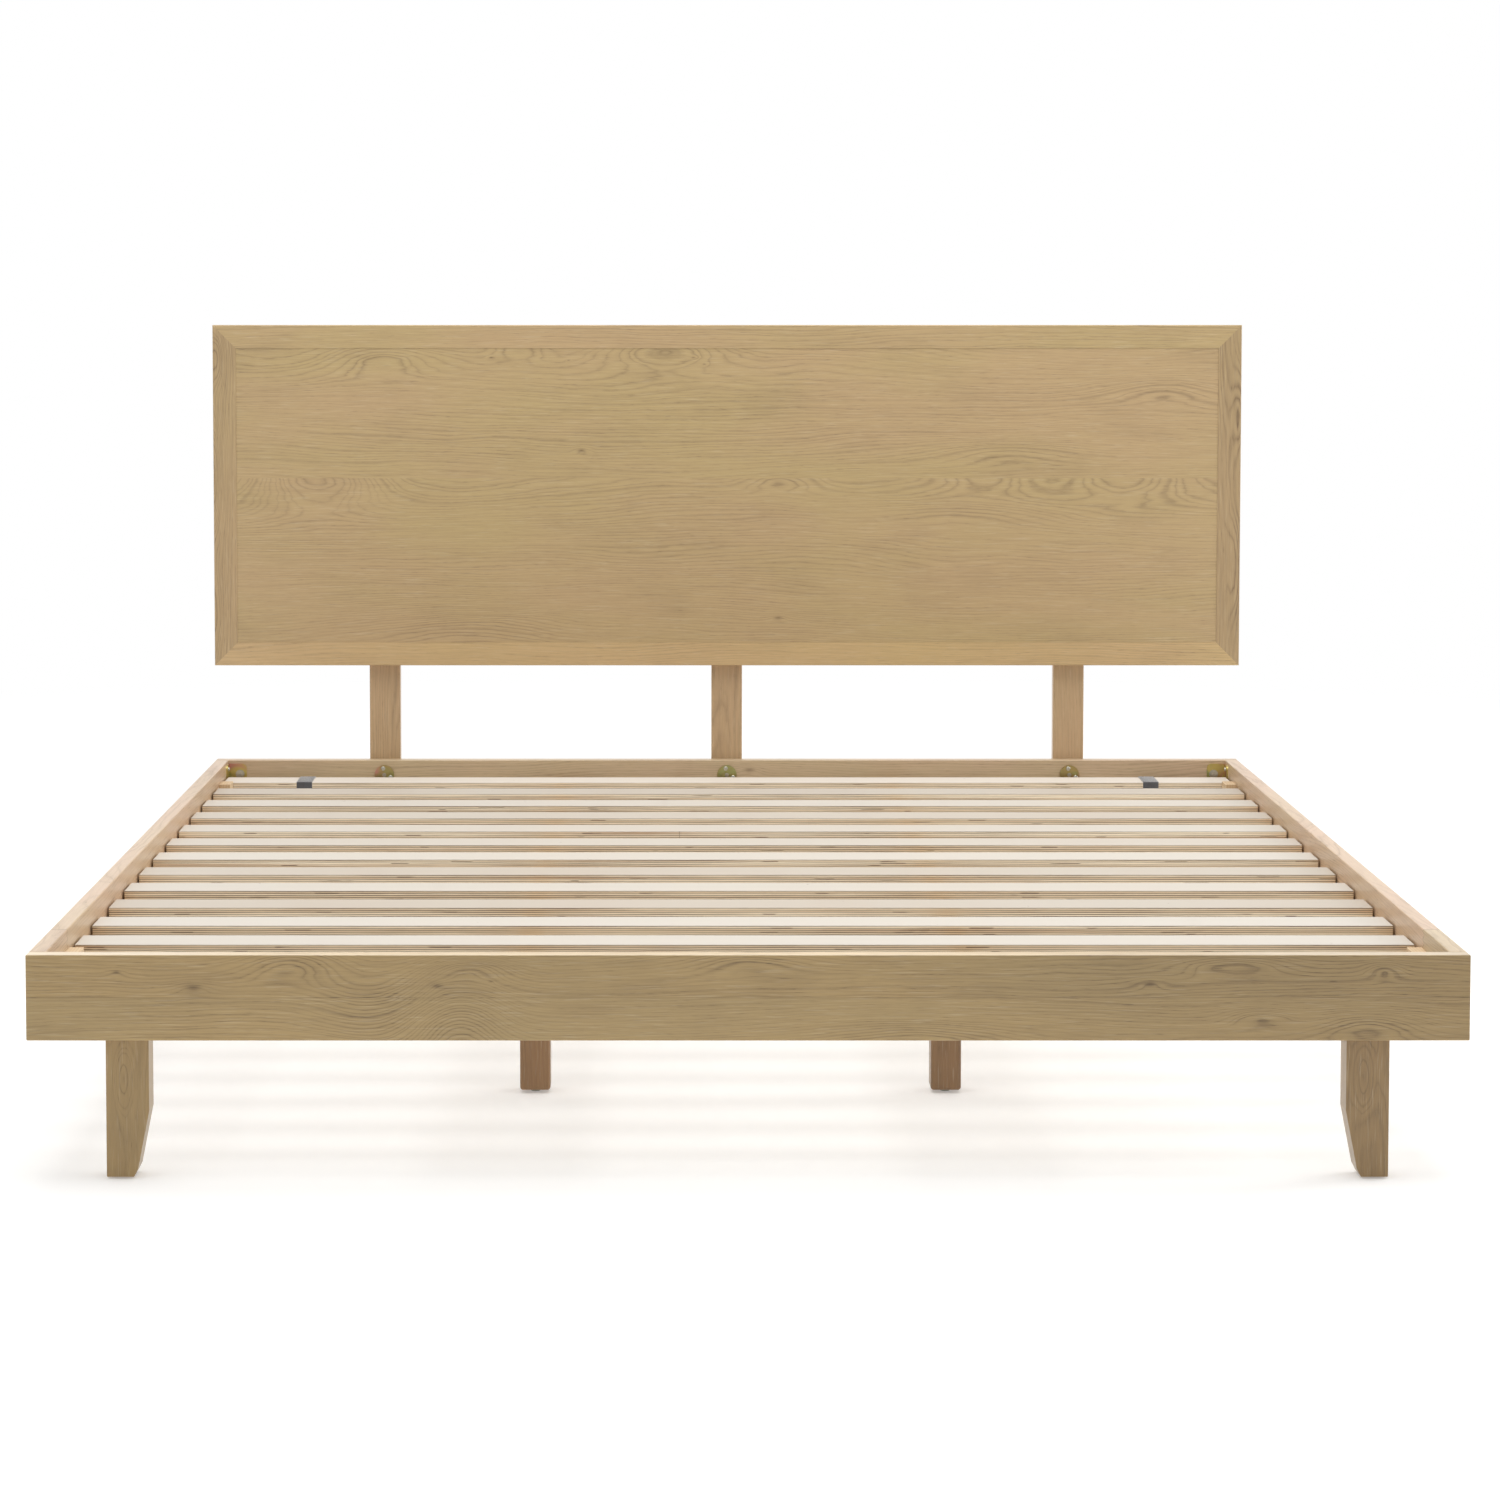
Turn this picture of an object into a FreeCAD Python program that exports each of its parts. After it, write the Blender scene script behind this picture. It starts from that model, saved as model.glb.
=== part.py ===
import FreeCAD, Part

import os
import re
import Sketcher

# King-size oak platform bed frame, in millimetres.
# Origin: the floor, under the middle of the outline. +Z is up, +X is the right-hand side seen from
# the foot end, and +Y runs from the foot rail to the headboard.

doc = FreeCAD.newDocument("BedFrame")
sheet = doc.addObject("Spreadsheet::Sheet", "Sizes")

SIZES = {
    # outline of the four rails
    "frame_width": 2000,
    "frame_length": 2100,
    "rail_top": 320,
    "rail_height": 120,
    "rail_thick": 25,
    "edge_round": 2,
    "foot_seam": 60,
    # headboard: two planks tongued into a mitred border
    "head_bottom": 506,
    "head_height": 664,
    "head_thick": 25,
    "strip_width": 45,
    "panel_recess": 1,
    "lower_plank": 321,
    "tongue_depth": 8,
    "tongue_thick": 8,
    "groove_gap": 0.2,
    # posts that carry the headboard
    "post_width": 60,
    "post_thick": 25,
    "post_spacing": 670,
    "post_top_drop": 90,
    "post_screw_low": 24,
    "post_screw_high": 40,
    # screw-on nut plate and countersunk bolt at each post
    "bolt_radius": 4,
    "bolt_gap": 0.25,
    "post_bolt_drop": 29,
    "plate_radius": 19,
    "plate_thick": 3,
    "barrel_radius": 5.5,
    "barrel_length": 15,
    "barrel_gap": 0.1,
    "sink_radius": 8,
    "sink_depth": 4,
    "plate_screw_radius": 13,
    # corner brackets and their bolts
    "bracket_leg": 36,
    "bracket_height": 40,
    "bracket_thick": 2.5,
    "bracket_round": 9,
    "bracket_drop": 7,
    "bracket_bolt_offset": 23,
    "bracket_screw_offset": 18,
    "bracket_screw_step": 22,
    "washer_radius": 8.5,
    "washer_thick": 1.5,
    "corner_bolt_length": 18,
    "bolt_head_radius": 6.5,
    "bolt_head_height": 5,
    "socket_width": 5,
    "socket_depth": 2.5,
    # screws
    "pan_radius": 2,
    "pan_length": 13,
    "pan_head_radius": 4.2,
    "pan_head_height": 2.4,
    "wood_screw_radius": 2.25,
    "wood_screw_length": 40,
    "wood_screw_head_radius": 4.5,
    "wood_screw_head_height": 3,
    # slats and the webbing that holds them in a roll
    "slat_drop": 30,
    "slat_width": 76,
    "slat_thick": 20,
    "slat_round": 1,
    "slat_end_gap": 3,
    "rear_slat_gap": 28,
    "front_slat_gap": 62,
    "rest_gap": 0.3,
    "strap_inset": 156,
    "strap_width": 30,
    "strap_thick": 1.8,
    "staple_crown": 12,
    "staple_wire": 1,
    "staple_leg": 7,
    # ledgers and stop blocks on the side rails
    "ledger_thick": 25,
    "ledger_height": 40,
    "ledger_end_gap": 2,
    "ledger_screw_inset": 92,
    "block_width": 22,
    "block_length": 45,
    "block_height": 23,
    "block_gap": 1,
    # centre beams, their hangers and their legs
    "beam_spacing": 317,
    "beam_width": 45,
    "beam_height": 45,
    "hanger_thick": 2,
    "hanger_depth": 32,
    "hanger_height": 40,
    "hanger_flange": 14,
    "hanger_gap": 0.5,
    "centre_leg_width": 47,
    "centre_leg_inset": 585,
    "centre_leg_round": 5,
    "centre_bolt_length": 56,
    # screw-in feet of the centre legs
    "foot_height": 4.4,
    "foot_top_radius": 8.5,
    "foot_bottom_radius": 7.2,
    "foot_gap": 0.3,
    "foot_floor": 1.5,
    "stud_radius": 4,
    "stud_length": 32,
    "insert_radius": 6,
    "insert_length": 20,
    "stud_bore_depth": 50,
    # corner legs, bolted to the inside of the foot and head rails
    "leg_inset": 106,
    "leg_width": 60,
    "leg_depth": 45,
    "leg_lap": 58,
    "leg_taper_top": 96,
    "leg_foot_width": 44,
    "leg_toe_width": 38,
    "leg_toe_height": 12,
    "leg_round": 1.5,
    "leg_bolt_rise": 17,
    "leg_bolt_step": 24,
    "leg_bolt_length": 60,
    "glide_radius": 9,
    "glide_height": 2.6,
    "glide_pin_radius": 1.5,
    "glide_pin_length": 12,
    "glide_centre": 19,
}

for row, (alias, number) in enumerate(SIZES.items(), start=1):
    sheet.set("A%d" % row, alias)
    sheet.set("B%d" % row, str(number))
    sheet.setAlias("B%d" % row, alias)
doc.recompute()

# Levels and planes that many pieces share, as formulas of the sheet's cells.
FOOT_FACE = "(-(frame_length + post_thick) / 2)"
FOOT_INNER = "(%s + rail_thick)" % FOOT_FACE
HEAD_BACK = "(%s + frame_length)" % FOOT_FACE
HEAD_INNER = "(%s - rail_thick)" % HEAD_BACK
RAIL_BOTTOM = "(rail_top - rail_height)"
SIDE_INNER = "(frame_width / 2 - rail_thick)"
INNER_LENGTH = "(frame_length - 2 * rail_thick)"
SLAT_BOTTOM = "(rail_top - slat_drop - slat_thick)"
LEDGER_TOP = "(rail_top - slat_drop - slat_thick - rest_gap)"
BEAM_BOTTOM = "(%s - beam_height)" % LEDGER_TOP
LEG_OUTER = "(frame_width / 2 - leg_inset)"
LEG_TOP = "(%s + leg_lap)" % RAIL_BOTTOM
LEG_BOLT_LOW = "(%s + leg_bolt_rise)" % RAIL_BOTTOM
BRACKET_BOTTOM = "(rail_top - bracket_drop - bracket_height)"
POST_BOLT_LEVEL = "(rail_top - post_bolt_drop)"
CENTRE_LEG_FOOT = "(foot_height + foot_gap)"

SLAT_COUNT = 13
SIDES = (("left", -1), ("right", 1))
ENDS = (("foot", -1), ("head", 1))
POSTS = (("left", -1), ("centre", 0), ("right", 1))
POST_SCREW_COUNT = 4
LEDGER_SCREW_COUNT = 7
PLATE_SCREW_TURNS = (100, 220, 340)

# Pieces spread evenly between two ends: the step from each to the next.
SLAT_ROOM = "(%s - rear_slat_gap - front_slat_gap - slat_width)" % INNER_LENGTH
SLAT_PITCH = "(%s / %d)" % (SLAT_ROOM, SLAT_COUNT - 1)
SLAT_HALF = "(%s - slat_end_gap)" % SIDE_INNER
LEDGER_SCREW_STEP = "((%s - 2 * ledger_screw_inset) / %d)" % (INNER_LENGTH, LEDGER_SCREW_COUNT - 1)
POST_TOP = "(head_bottom + head_height - post_top_drop)"
POST_SCREW_FIRST = "(head_bottom + post_screw_low)"
POST_SCREW_STEP = "((%s - post_screw_high - %s) / %d)" % (POST_TOP, POST_SCREW_FIRST, POST_SCREW_COUNT - 1)

# Rotation that turns an object's own +Z to each direction.
DIRECTIONS = {
    "+X": FreeCAD.Rotation(FreeCAD.Vector(0, 1, 0), 90),
    "-X": FreeCAD.Rotation(FreeCAD.Vector(0, 1, 0), -90),
    "+Y": FreeCAD.Rotation(FreeCAD.Vector(1, 0, 0), -90),
    "-Y": FreeCAD.Rotation(FreeCAD.Vector(1, 0, 0), 90),
    "+Z": FreeCAD.Rotation(),
    "-Z": FreeCAD.Rotation(FreeCAD.Vector(1, 0, 0), 180),
}
OPPOSITE = {"+X": "-X", "-X": "+X", "+Y": "-Y", "-Y": "+Y", "+Z": "-Z", "-Z": "+Z"}

nodes = []


def formula(text):
    """Write each size's name in a formula as a cell of the sheet."""
    return re.sub(r"[a-z][a-z_]+", lambda word: word.group() if word.group() in ("cos", "sin")
                  else "Sizes." + word.group(), str(text))


def bind(obj, **properties):
    """Bind properties of an object to formulas."""
    for name, text in properties.items():
        obj.setExpression(name, formula(text))


def place(obj, x, y, z, direction="+Z"):
    """Put an object's origin at a point given by formulas, its own +Z along the direction."""
    obj.Placement = FreeCAD.Placement(FreeCAD.Vector(), DIRECTIONS[direction])
    for axis, text in zip("xyz", (x, y, z)):
        obj.setExpression("Placement.Base." + axis, formula(text))
    return obj


def keep(obj, label):
    """Make an object a sub-part with a name."""
    obj.Label = label
    nodes.append(obj)
    return obj


def box(x, y, z, across, along, up):
    """Block with its lowest corner at x, y, z."""
    block = doc.addObject("Part::Box", "Block")
    bind(block, Length=across, Width=along, Height=up)
    return place(block, x, y, z)


def cylinder(x, y, z, direction, radius, length):
    """Round bar that starts at x, y, z and runs in the direction."""
    bar = doc.addObject("Part::Cylinder", "Bar")
    bind(bar, Radius=radius, Height=length)
    return place(bar, x, y, z, direction)


def cone(x, y, z, direction, first_radius, last_radius, length):
    """Tapered bar that starts at x, y, z and runs in the direction."""
    bar = doc.addObject("Part::Cone", "Taper")
    bind(bar, Radius1=first_radius, Radius2=last_radius, Height=length)
    return place(bar, x, y, z, direction)


def hexagon(x, y, z, direction, across_flats, length):
    """Six-sided bar, for a key's socket."""
    bar = doc.addObject("Part::Prism", "Socket")
    bar.Polygon = 6
    bind(bar, Circumradius="%s / 2 / cos(30)" % across_flats, Height=length)
    return place(bar, x, y, z, direction)


def fuse(*pieces):
    joined = doc.addObject("Part::MultiFuse", "Joined")
    joined.Shapes = list(pieces)
    return joined


def cut(base, *tools):
    """Base with every tool cut away."""
    for tool in tools:
        trimmed = doc.addObject("Part::Cut", "Trimmed")
        trimmed.Base = base
        trimmed.Tool = tool
        base = trimmed
    return base


def group(*pieces):
    """Several separate solids in one sub-part."""
    gathered = doc.addObject("Part::Compound", "Group")
    gathered.Links = list(pieces)
    return gathered


def new_body(name):
    return doc.addObject("PartDesign::Body", name)


def new_sketch(body, plane, name):
    """Sketch on one of the body's own origin planes."""
    sketch = body.newObject("Sketcher::SketchObject", name)
    support = [item for item in body.Origin.OriginFeatures if item.Role == plane][0]
    sketch.AttachmentSupport = (support, [""])
    sketch.MapMode = "FlatFace"
    return sketch


def add_outline(sketch, corners):
    """Closed outline of straight lines; each corner is a pair of formulas from the sketch's origin."""
    first = sketch.GeometryCount
    count = len(corners)
    for number in range(count):
        start = FreeCAD.Vector(number, number * number, 0)
        end = FreeCAD.Vector(number + 1, (number + 1) ** 2, 0)
        sketch.addGeometry(Part.LineSegment(start, end), False)
    for number in range(count):
        following = first + (number + 1) % count
        sketch.addConstraint(Sketcher.Constraint("Coincident", first + number, 2, following, 1))
    for number, (across, up) in enumerate(corners):
        for kind, text in (("DistanceX", across), ("DistanceY", up)):
            if str(text) == "0":
                axis = -2 if kind == "DistanceX" else -1
                sketch.addConstraint(Sketcher.Constraint("PointOnObject", first + number, 1, axis))
                continue
            index = sketch.addConstraint(Sketcher.Constraint(kind, -1, 1, first + number, 1, 1.0))
            sketch.setExpression("Constraints[%d]" % index, formula(text))


def add_circle(sketch, across, up, radius):
    """Circle with its centre given by formulas."""
    index = sketch.addGeometry(Part.Circle(FreeCAD.Vector(5, 5, 0), FreeCAD.Vector(0, 0, 1), 3), False)
    for kind, text in (("DistanceX", across), ("DistanceY", up)):
        number = sketch.addConstraint(Sketcher.Constraint(kind, -1, 1, index, 3, 5.0))
        sketch.setExpression("Constraints[%d]" % number, formula(text))
    number = sketch.addConstraint(Sketcher.Constraint("Radius", index, 3.0))
    sketch.setExpression("Constraints[%d]" % number, formula(radius))


def pad(body, sketch, length, reverse=False):
    feature = body.newObject("PartDesign::Pad", "Pad")
    feature.Profile = sketch
    feature.Reversed = reverse
    bind(feature, Length=length)
    return feature


def drill(body, sketch):
    """Pocket that runs right through the body, both ways from its sketch."""
    feature = body.newObject("PartDesign::Pocket", "Through")
    feature.Profile = sketch
    feature.Type = "ThroughAll"
    feature.Midplane = True
    return feature


def soften(body, feature, radius, wanted=None):
    """Round every edge of a feature, or only the edges that the test wants."""
    doc.recompute()
    softened = body.newObject("PartDesign::Fillet", "Softened")
    edges = feature.Shape.Edges
    names = ["Edge%d" % (number + 1) for number, edge in enumerate(edges) if wanted is None or wanted(edge)]
    softened.Base = (feature, names)
    bind(softened, Radius=radius)
    return softened


def board(name, x, y, z, across, along, up, radius, wanted=None):
    """Sawn board with its lowest corner at x, y, z and its edges taken off."""
    body = new_body(name)
    sketch = new_sketch(body, "XY_Plane", "Section")
    add_outline(sketch, [("0", "0"), (across, "0"), (across, along), ("0", along)])
    block = pad(body, sketch, up)
    soften(body, block, radius, wanted)
    return place(body, x, y, z)


def socket_bolt(x, y, z, direction, length, washer=False):
    """Button-head bolt. The point lies on the face that its washer or head bears on."""
    outward = OPPOSITE[direction]
    pieces = [cylinder(x, y, z, direction, "bolt_radius", length)]
    lift = "0"
    if washer:
        lift = "washer_thick"
        pieces.append(cylinder(x, y, z, outward, "washer_radius", "washer_thick"))
    total = "%s + bolt_head_height" % lift
    pieces.append(cylinder(x, y, z, outward, "bolt_head_radius", total))
    sign = "-" if outward[0] == "-" else "+"
    socket_y = "%s %s (%s - socket_depth)" % (y, sign, total)
    key = hexagon(x, socket_y, z, outward, "socket_width", "socket_depth + 1")
    return cut(fuse(*pieces), key)


def pan_screw(x, y, z, direction):
    """Small pan-head screw. The point lies on the metal that its head bears on."""
    shank = cylinder(x, y, z, direction, "pan_radius", "pan_length")
    head = cone(x, y, z, OPPOSITE[direction], "pan_head_radius", "pan_head_radius * 0.7", "pan_head_height")
    return fuse(shank, head)


def wood_screw(x, y, z, direction):
    """Countersunk wood screw, flush with the face that the point lies on."""
    shank = cylinder(x, y, z, direction, "wood_screw_radius", "wood_screw_length")
    head = cone(x, y, z, direction, "wood_screw_head_radius", "wood_screw_radius", "wood_screw_head_height")
    return fuse(shank, head)


# Rails. The foot rail and the head rail cross the full width and the side rails stand between them.
def make_foot_rail():
    """Foot rail, glued up from two boards that meet in a flat seam."""
    lower = board("FootLower", "-frame_width / 2", FOOT_FACE, RAIL_BOTTOM,
                  "frame_width", "rail_thick", "foot_seam", "edge_round",
                  lambda edge: min(v.Z for v in edge.Vertexes) < 1)
    upper = board("FootUpper", "-frame_width / 2", FOOT_FACE, RAIL_BOTTOM + " + foot_seam",
                  "frame_width", "rail_thick", "rail_height - foot_seam", "edge_round",
                  lambda edge: max(v.Z for v in edge.Vertexes) > 1)
    keep(group(lower, upper), "foot_rail")


def make_head_rail():
    """Head rail, bored for the barrels of the three nut plates."""
    rail = board("HeadRail", "-frame_width / 2", HEAD_INNER, RAIL_BOTTOM,
                 "frame_width", "rail_thick", "rail_height", "edge_round")
    bores = [cylinder("%d * post_spacing" % sign, HEAD_INNER + " - 1", POST_BOLT_LEVEL, "+Y",
                      "barrel_radius + barrel_gap", "rail_thick + 2") for _, sign in POSTS]
    keep(cut(rail, *bores), "head_rail")


def make_side_rails():
    for side, sign in SIDES:
        x = SIDE_INNER if sign > 0 else "-frame_width / 2"
        keep(board("SideRail", x, FOOT_INNER, RAIL_BOTTOM,
                   "rail_thick", INNER_LENGTH, "rail_height", "edge_round"), "side_rail_" + side)


# Headboard.
PANEL_WIDTH = "(frame_width - 2 * strip_width)"
PANEL_BOTTOM = "(head_bottom + strip_width)"
PANEL_TOP = "(head_bottom + head_height - strip_width)"
HEAD_FRONT = "(%s - head_thick)" % HEAD_BACK


def make_strip(name, corners, plane, groove):
    """Mitred border strip, seen from the front, with a groove for the planks' tongues."""
    body = new_body("Strip")
    front = new_sketch(body, "XZ_Plane", "Front")
    add_outline(front, corners)
    # A sketch on XZ looks along -Y, so the pad runs towards +Y when it is reversed.
    strip = pad(body, front, "head_thick", reverse=True)
    doc.recompute()
    longest = max(edge.Length for edge in strip.Shape.Edges)
    soften(body, strip, "edge_round", lambda edge: edge.Length > longest - 1e-6)
    channel = new_sketch(body, plane, "Channel")
    add_outline(channel, groove)
    drill(body, channel)
    place(body, "0", HEAD_FRONT, "head_bottom")
    keep(body, "headboard_strip_" + name)


def make_headboard_border():
    half = "frame_width / 2"
    inner = "frame_width / 2 - strip_width"
    low = "(head_thick - tongue_thick) / 2 - groove_gap"
    high = "(head_thick + tongue_thick) / 2 + groove_gap"
    deep = "strip_width - tongue_depth - groove_gap"
    top_deep = "head_height - strip_width + tongue_depth + groove_gap"
    make_strip("bottom", [("-" + half, "0"), (half, "0"), (inner, "strip_width"),
                          ("-(%s)" % inner, "strip_width")],
               "YZ_Plane", [(low, deep), (high, deep), (high, "strip_width + 1"), (low, "strip_width + 1")])
    make_strip("top", [("-" + half, "head_height"), ("-(%s)" % inner, "head_height - strip_width"),
                       (inner, "head_height - strip_width"), (half, "head_height")],
               "YZ_Plane", [(low, "head_height - strip_width - 1"), (high, "head_height - strip_width - 1"),
                            (high, top_deep), (low, top_deep)])
    for side, sign in SIDES:
        outer = "%d * (%s)" % (sign, half)
        inside = "%d * (%s)" % (sign, inner)
        edge = "%d * (%s - 1)" % (sign, inner)
        bed = "%d * (%s + tongue_depth + groove_gap)" % (sign, inner)
        make_strip(side, [(outer, "0"), (outer, "head_height"), (inside, "head_height - strip_width"),
                          (inside, "strip_width")],
                   "XY_Plane", [(edge, low), (bed, low), (bed, high), (edge, high)])


def make_headboard_planks():
    """Two planks, edge-glued in a seam, with a tongue all round that fills the border's groove."""
    field_y = HEAD_FRONT + " + panel_recess"
    field_thick = "head_thick - 2 * panel_recess"
    tongue_y = HEAD_FRONT + " + (head_thick - tongue_thick) / 2"
    wide = PANEL_WIDTH + " + 2 * tongue_depth"
    upper = "(%s - %s - lower_plank)" % (PANEL_TOP, PANEL_BOTTOM)
    seam = PANEL_BOTTOM + " + lower_plank"
    for name, field_z, field_up, tongue_z in (
            ("lower", PANEL_BOTTOM, "lower_plank", PANEL_BOTTOM + " - tongue_depth"),
            ("upper", seam, upper, seam)):
        field = box("-%s / 2" % PANEL_WIDTH, field_y, field_z, PANEL_WIDTH, field_thick, field_up)
        tongue = box("-(%s) / 2" % wide, tongue_y, tongue_z,
                     wide, "tongue_thick", field_up + " + tongue_depth")
        keep(fuse(field, tongue), "headboard_plank_" + name)


def make_posts():
    """Posts behind the head rail and the headboard, countersunk for their bolts."""
    for name, sign in POSTS:
        centre = "%d * post_spacing" % sign
        post = board("Post", centre + " - post_width / 2", HEAD_BACK, RAIL_BOTTOM,
                     "post_width", "post_thick", "%s - %s" % (POST_TOP, RAIL_BOTTOM), "edge_round")
        bore = cylinder(centre, HEAD_BACK + " - 1", POST_BOLT_LEVEL, "+Y",
                        "bolt_radius + bolt_gap", "post_thick + 2")
        sink = cone(centre, HEAD_BACK + " + post_thick", POST_BOLT_LEVEL, "-Y",
                    "sink_radius", "bolt_radius", "sink_depth")
        keep(cut(post, bore, sink), "post_" + name)


def plate_screw_places(sign):
    """The three screws round the nut plate of one post."""
    return [("%d * post_spacing + plate_screw_radius * cos(%d)" % (sign, turn),
             "%s + plate_screw_radius * sin(%d)" % (POST_BOLT_LEVEL, turn)) for turn in PLATE_SCREW_TURNS]


def make_post_hardware():
    """Nut plates screwed to the inside of the head rail, and the bolts that draw the posts to them."""
    plates = []
    bolts = []
    face = HEAD_INNER
    back = HEAD_BACK + " + post_thick"
    for _, sign in POSTS:
        centre = "%d * post_spacing" % sign
        disc = cylinder(centre, face, POST_BOLT_LEVEL, "-Y", "plate_radius", "plate_thick")
        barrel = cylinder(centre, face, POST_BOLT_LEVEL, "+Y", "barrel_radius", "barrel_length")
        bore = cylinder(centre, face + " - plate_thick - 1", POST_BOLT_LEVEL, "+Y",
                        "bolt_radius + barrel_gap", "plate_thick + barrel_length + 2")
        holes = [cylinder(x, face + " - plate_thick - 1", z, "+Y", "pan_radius + bolt_gap", "plate_thick + 1")
                 for x, z in plate_screw_places(sign)]
        plates.append(cut(fuse(disc, barrel), bore, *holes))
        shank = cylinder(centre, back, POST_BOLT_LEVEL, "-Y", "bolt_radius",
                         "post_thick + rail_thick + plate_thick / 2")
        head = cone(centre, back, POST_BOLT_LEVEL, "-Y", "sink_radius", "bolt_radius", "sink_depth")
        key = hexagon(centre, back + " - socket_depth", POST_BOLT_LEVEL, "+Y",
                      "socket_width", "socket_depth + 1")
        bolts.append(cut(fuse(shank, head), key))
    keep(group(*plates), "post_nut_plates")
    keep(group(*bolts), "post_bolts")


# Corner brackets.
def make_bracket(side, end):
    """Pressed angle bracket: one leg bolted to the foot or head rail, one screwed to the side rail."""
    body = new_body("Bracket")
    plan = new_sketch(body, "XY_Plane", "Plan")
    leg = ["%d * (%s)" % (sign, size) for sign in (-side, -end) for size in ("bracket_leg", "bracket_thick")]
    add_outline(plan, [("0", "0"), (leg[0], "0"), (leg[0], leg[3]), (leg[1], leg[3]),
                       (leg[1], leg[2]), ("0", leg[2])])
    plate = pad(body, plan, "bracket_height")
    rounded = soften(body, plate, "bracket_round", lambda edge: abs(edge.Length - sheet.bracket_thick) < 1e-6)
    soften(body, rounded, "bracket_thick",
           lambda edge: max(abs(corner.X) + abs(corner.Y) for corner in edge.Vertexes) < 1e-6)
    bolt = new_sketch(body, "XZ_Plane", "BoltHole")
    add_circle(bolt, "%d * bracket_bolt_offset" % -side, "bracket_height / 2", "bolt_radius + bolt_gap")
    drill(body, bolt)
    screws = new_sketch(body, "YZ_Plane", "ScrewHoles")
    for step in (-1, 1):
        add_circle(screws, "%d * bracket_screw_offset" % -end,
                   "bracket_height / 2 + %d * bracket_screw_step / 2" % step, "pan_radius + bolt_gap")
    drill(body, screws)
    inner = FOOT_INNER if end < 0 else HEAD_INNER
    return place(body, "%d * %s" % (side, SIDE_INNER), inner, BRACKET_BOTTOM)


def make_corner_hardware():
    """Four brackets, the washer-head bolt of each, and the places of their small screws."""
    brackets = []
    bolts = []
    screws = []
    middle = BRACKET_BOTTOM + " + bracket_height / 2"
    for _, end in ENDS:
        inner = FOOT_INNER if end < 0 else HEAD_INNER
        towards_rail = "-Y" if end < 0 else "+Y"
        for _, side in SIDES:
            brackets.append(make_bracket(side, end))
            bolt_x = "%d * (%s - bracket_bolt_offset)" % (side, SIDE_INNER)
            bolt_y = "%s + %d * bracket_thick" % (inner, -end)
            bolts.append(socket_bolt(bolt_x, bolt_y, middle, towards_rail, "corner_bolt_length", washer=True))
            for step in (-1, 1):
                screws.append(pan_screw("%d * (%s - bracket_thick)" % (side, SIDE_INNER),
                                        "%s + %d * bracket_screw_offset" % (inner, -end),
                                        "%s + %d * bracket_screw_step / 2" % (middle, step),
                                        "+X" if side > 0 else "-X"))
    keep(group(*brackets), "corner_brackets")
    keep(group(*bolts), "corner_bolts")
    return screws


# Slat supports.
def slat_back(number):
    """Rear edge of a slat, counted from the head."""
    return "(%s - rear_slat_gap - %d * %s)" % (HEAD_INNER, number, SLAT_PITCH)


def make_ledgers():
    """Cleats along the side rails that the slat ends rest on, and the stop blocks on top of them."""
    screws = []
    blocks = []
    front_slat_back = slat_back(SLAT_COUNT - 1)
    rear_slat_front = "(%s - slat_width)" % slat_back(0)
    for side, sign in SIDES:
        inner = "%s - ledger_thick" % SIDE_INNER if sign > 0 else "-%s" % SIDE_INNER
        keep(board("Ledger", inner, FOOT_INNER + " + ledger_end_gap", LEDGER_TOP + " - ledger_height",
                   "ledger_thick", INNER_LENGTH + " - 2 * ledger_end_gap", "ledger_height", "slat_round"),
             "ledger_" + side)
        for number in range(LEDGER_SCREW_COUNT):
            screw_y = "%s + ledger_screw_inset + %d * %s" % (FOOT_INNER, number, LEDGER_SCREW_STEP)
            screws.append(wood_screw("%d * (%s - ledger_thick)" % (sign, SIDE_INNER), screw_y,
                                     LEDGER_TOP + " - ledger_height / 2", "+X" if sign > 0 else "-X"))
        block_x = "%s - block_width" % SIDE_INNER if sign > 0 else "-%s" % SIDE_INNER
        for block_y in (front_slat_back + " + block_gap", rear_slat_front + " - block_gap - block_length"):
            blocks.append(board("Block", block_x, block_y, LEDGER_TOP,
                                "block_width", "block_length", "block_height", "slat_round"))
    keep(group(*blocks), "stop_blocks")
    return screws


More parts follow.
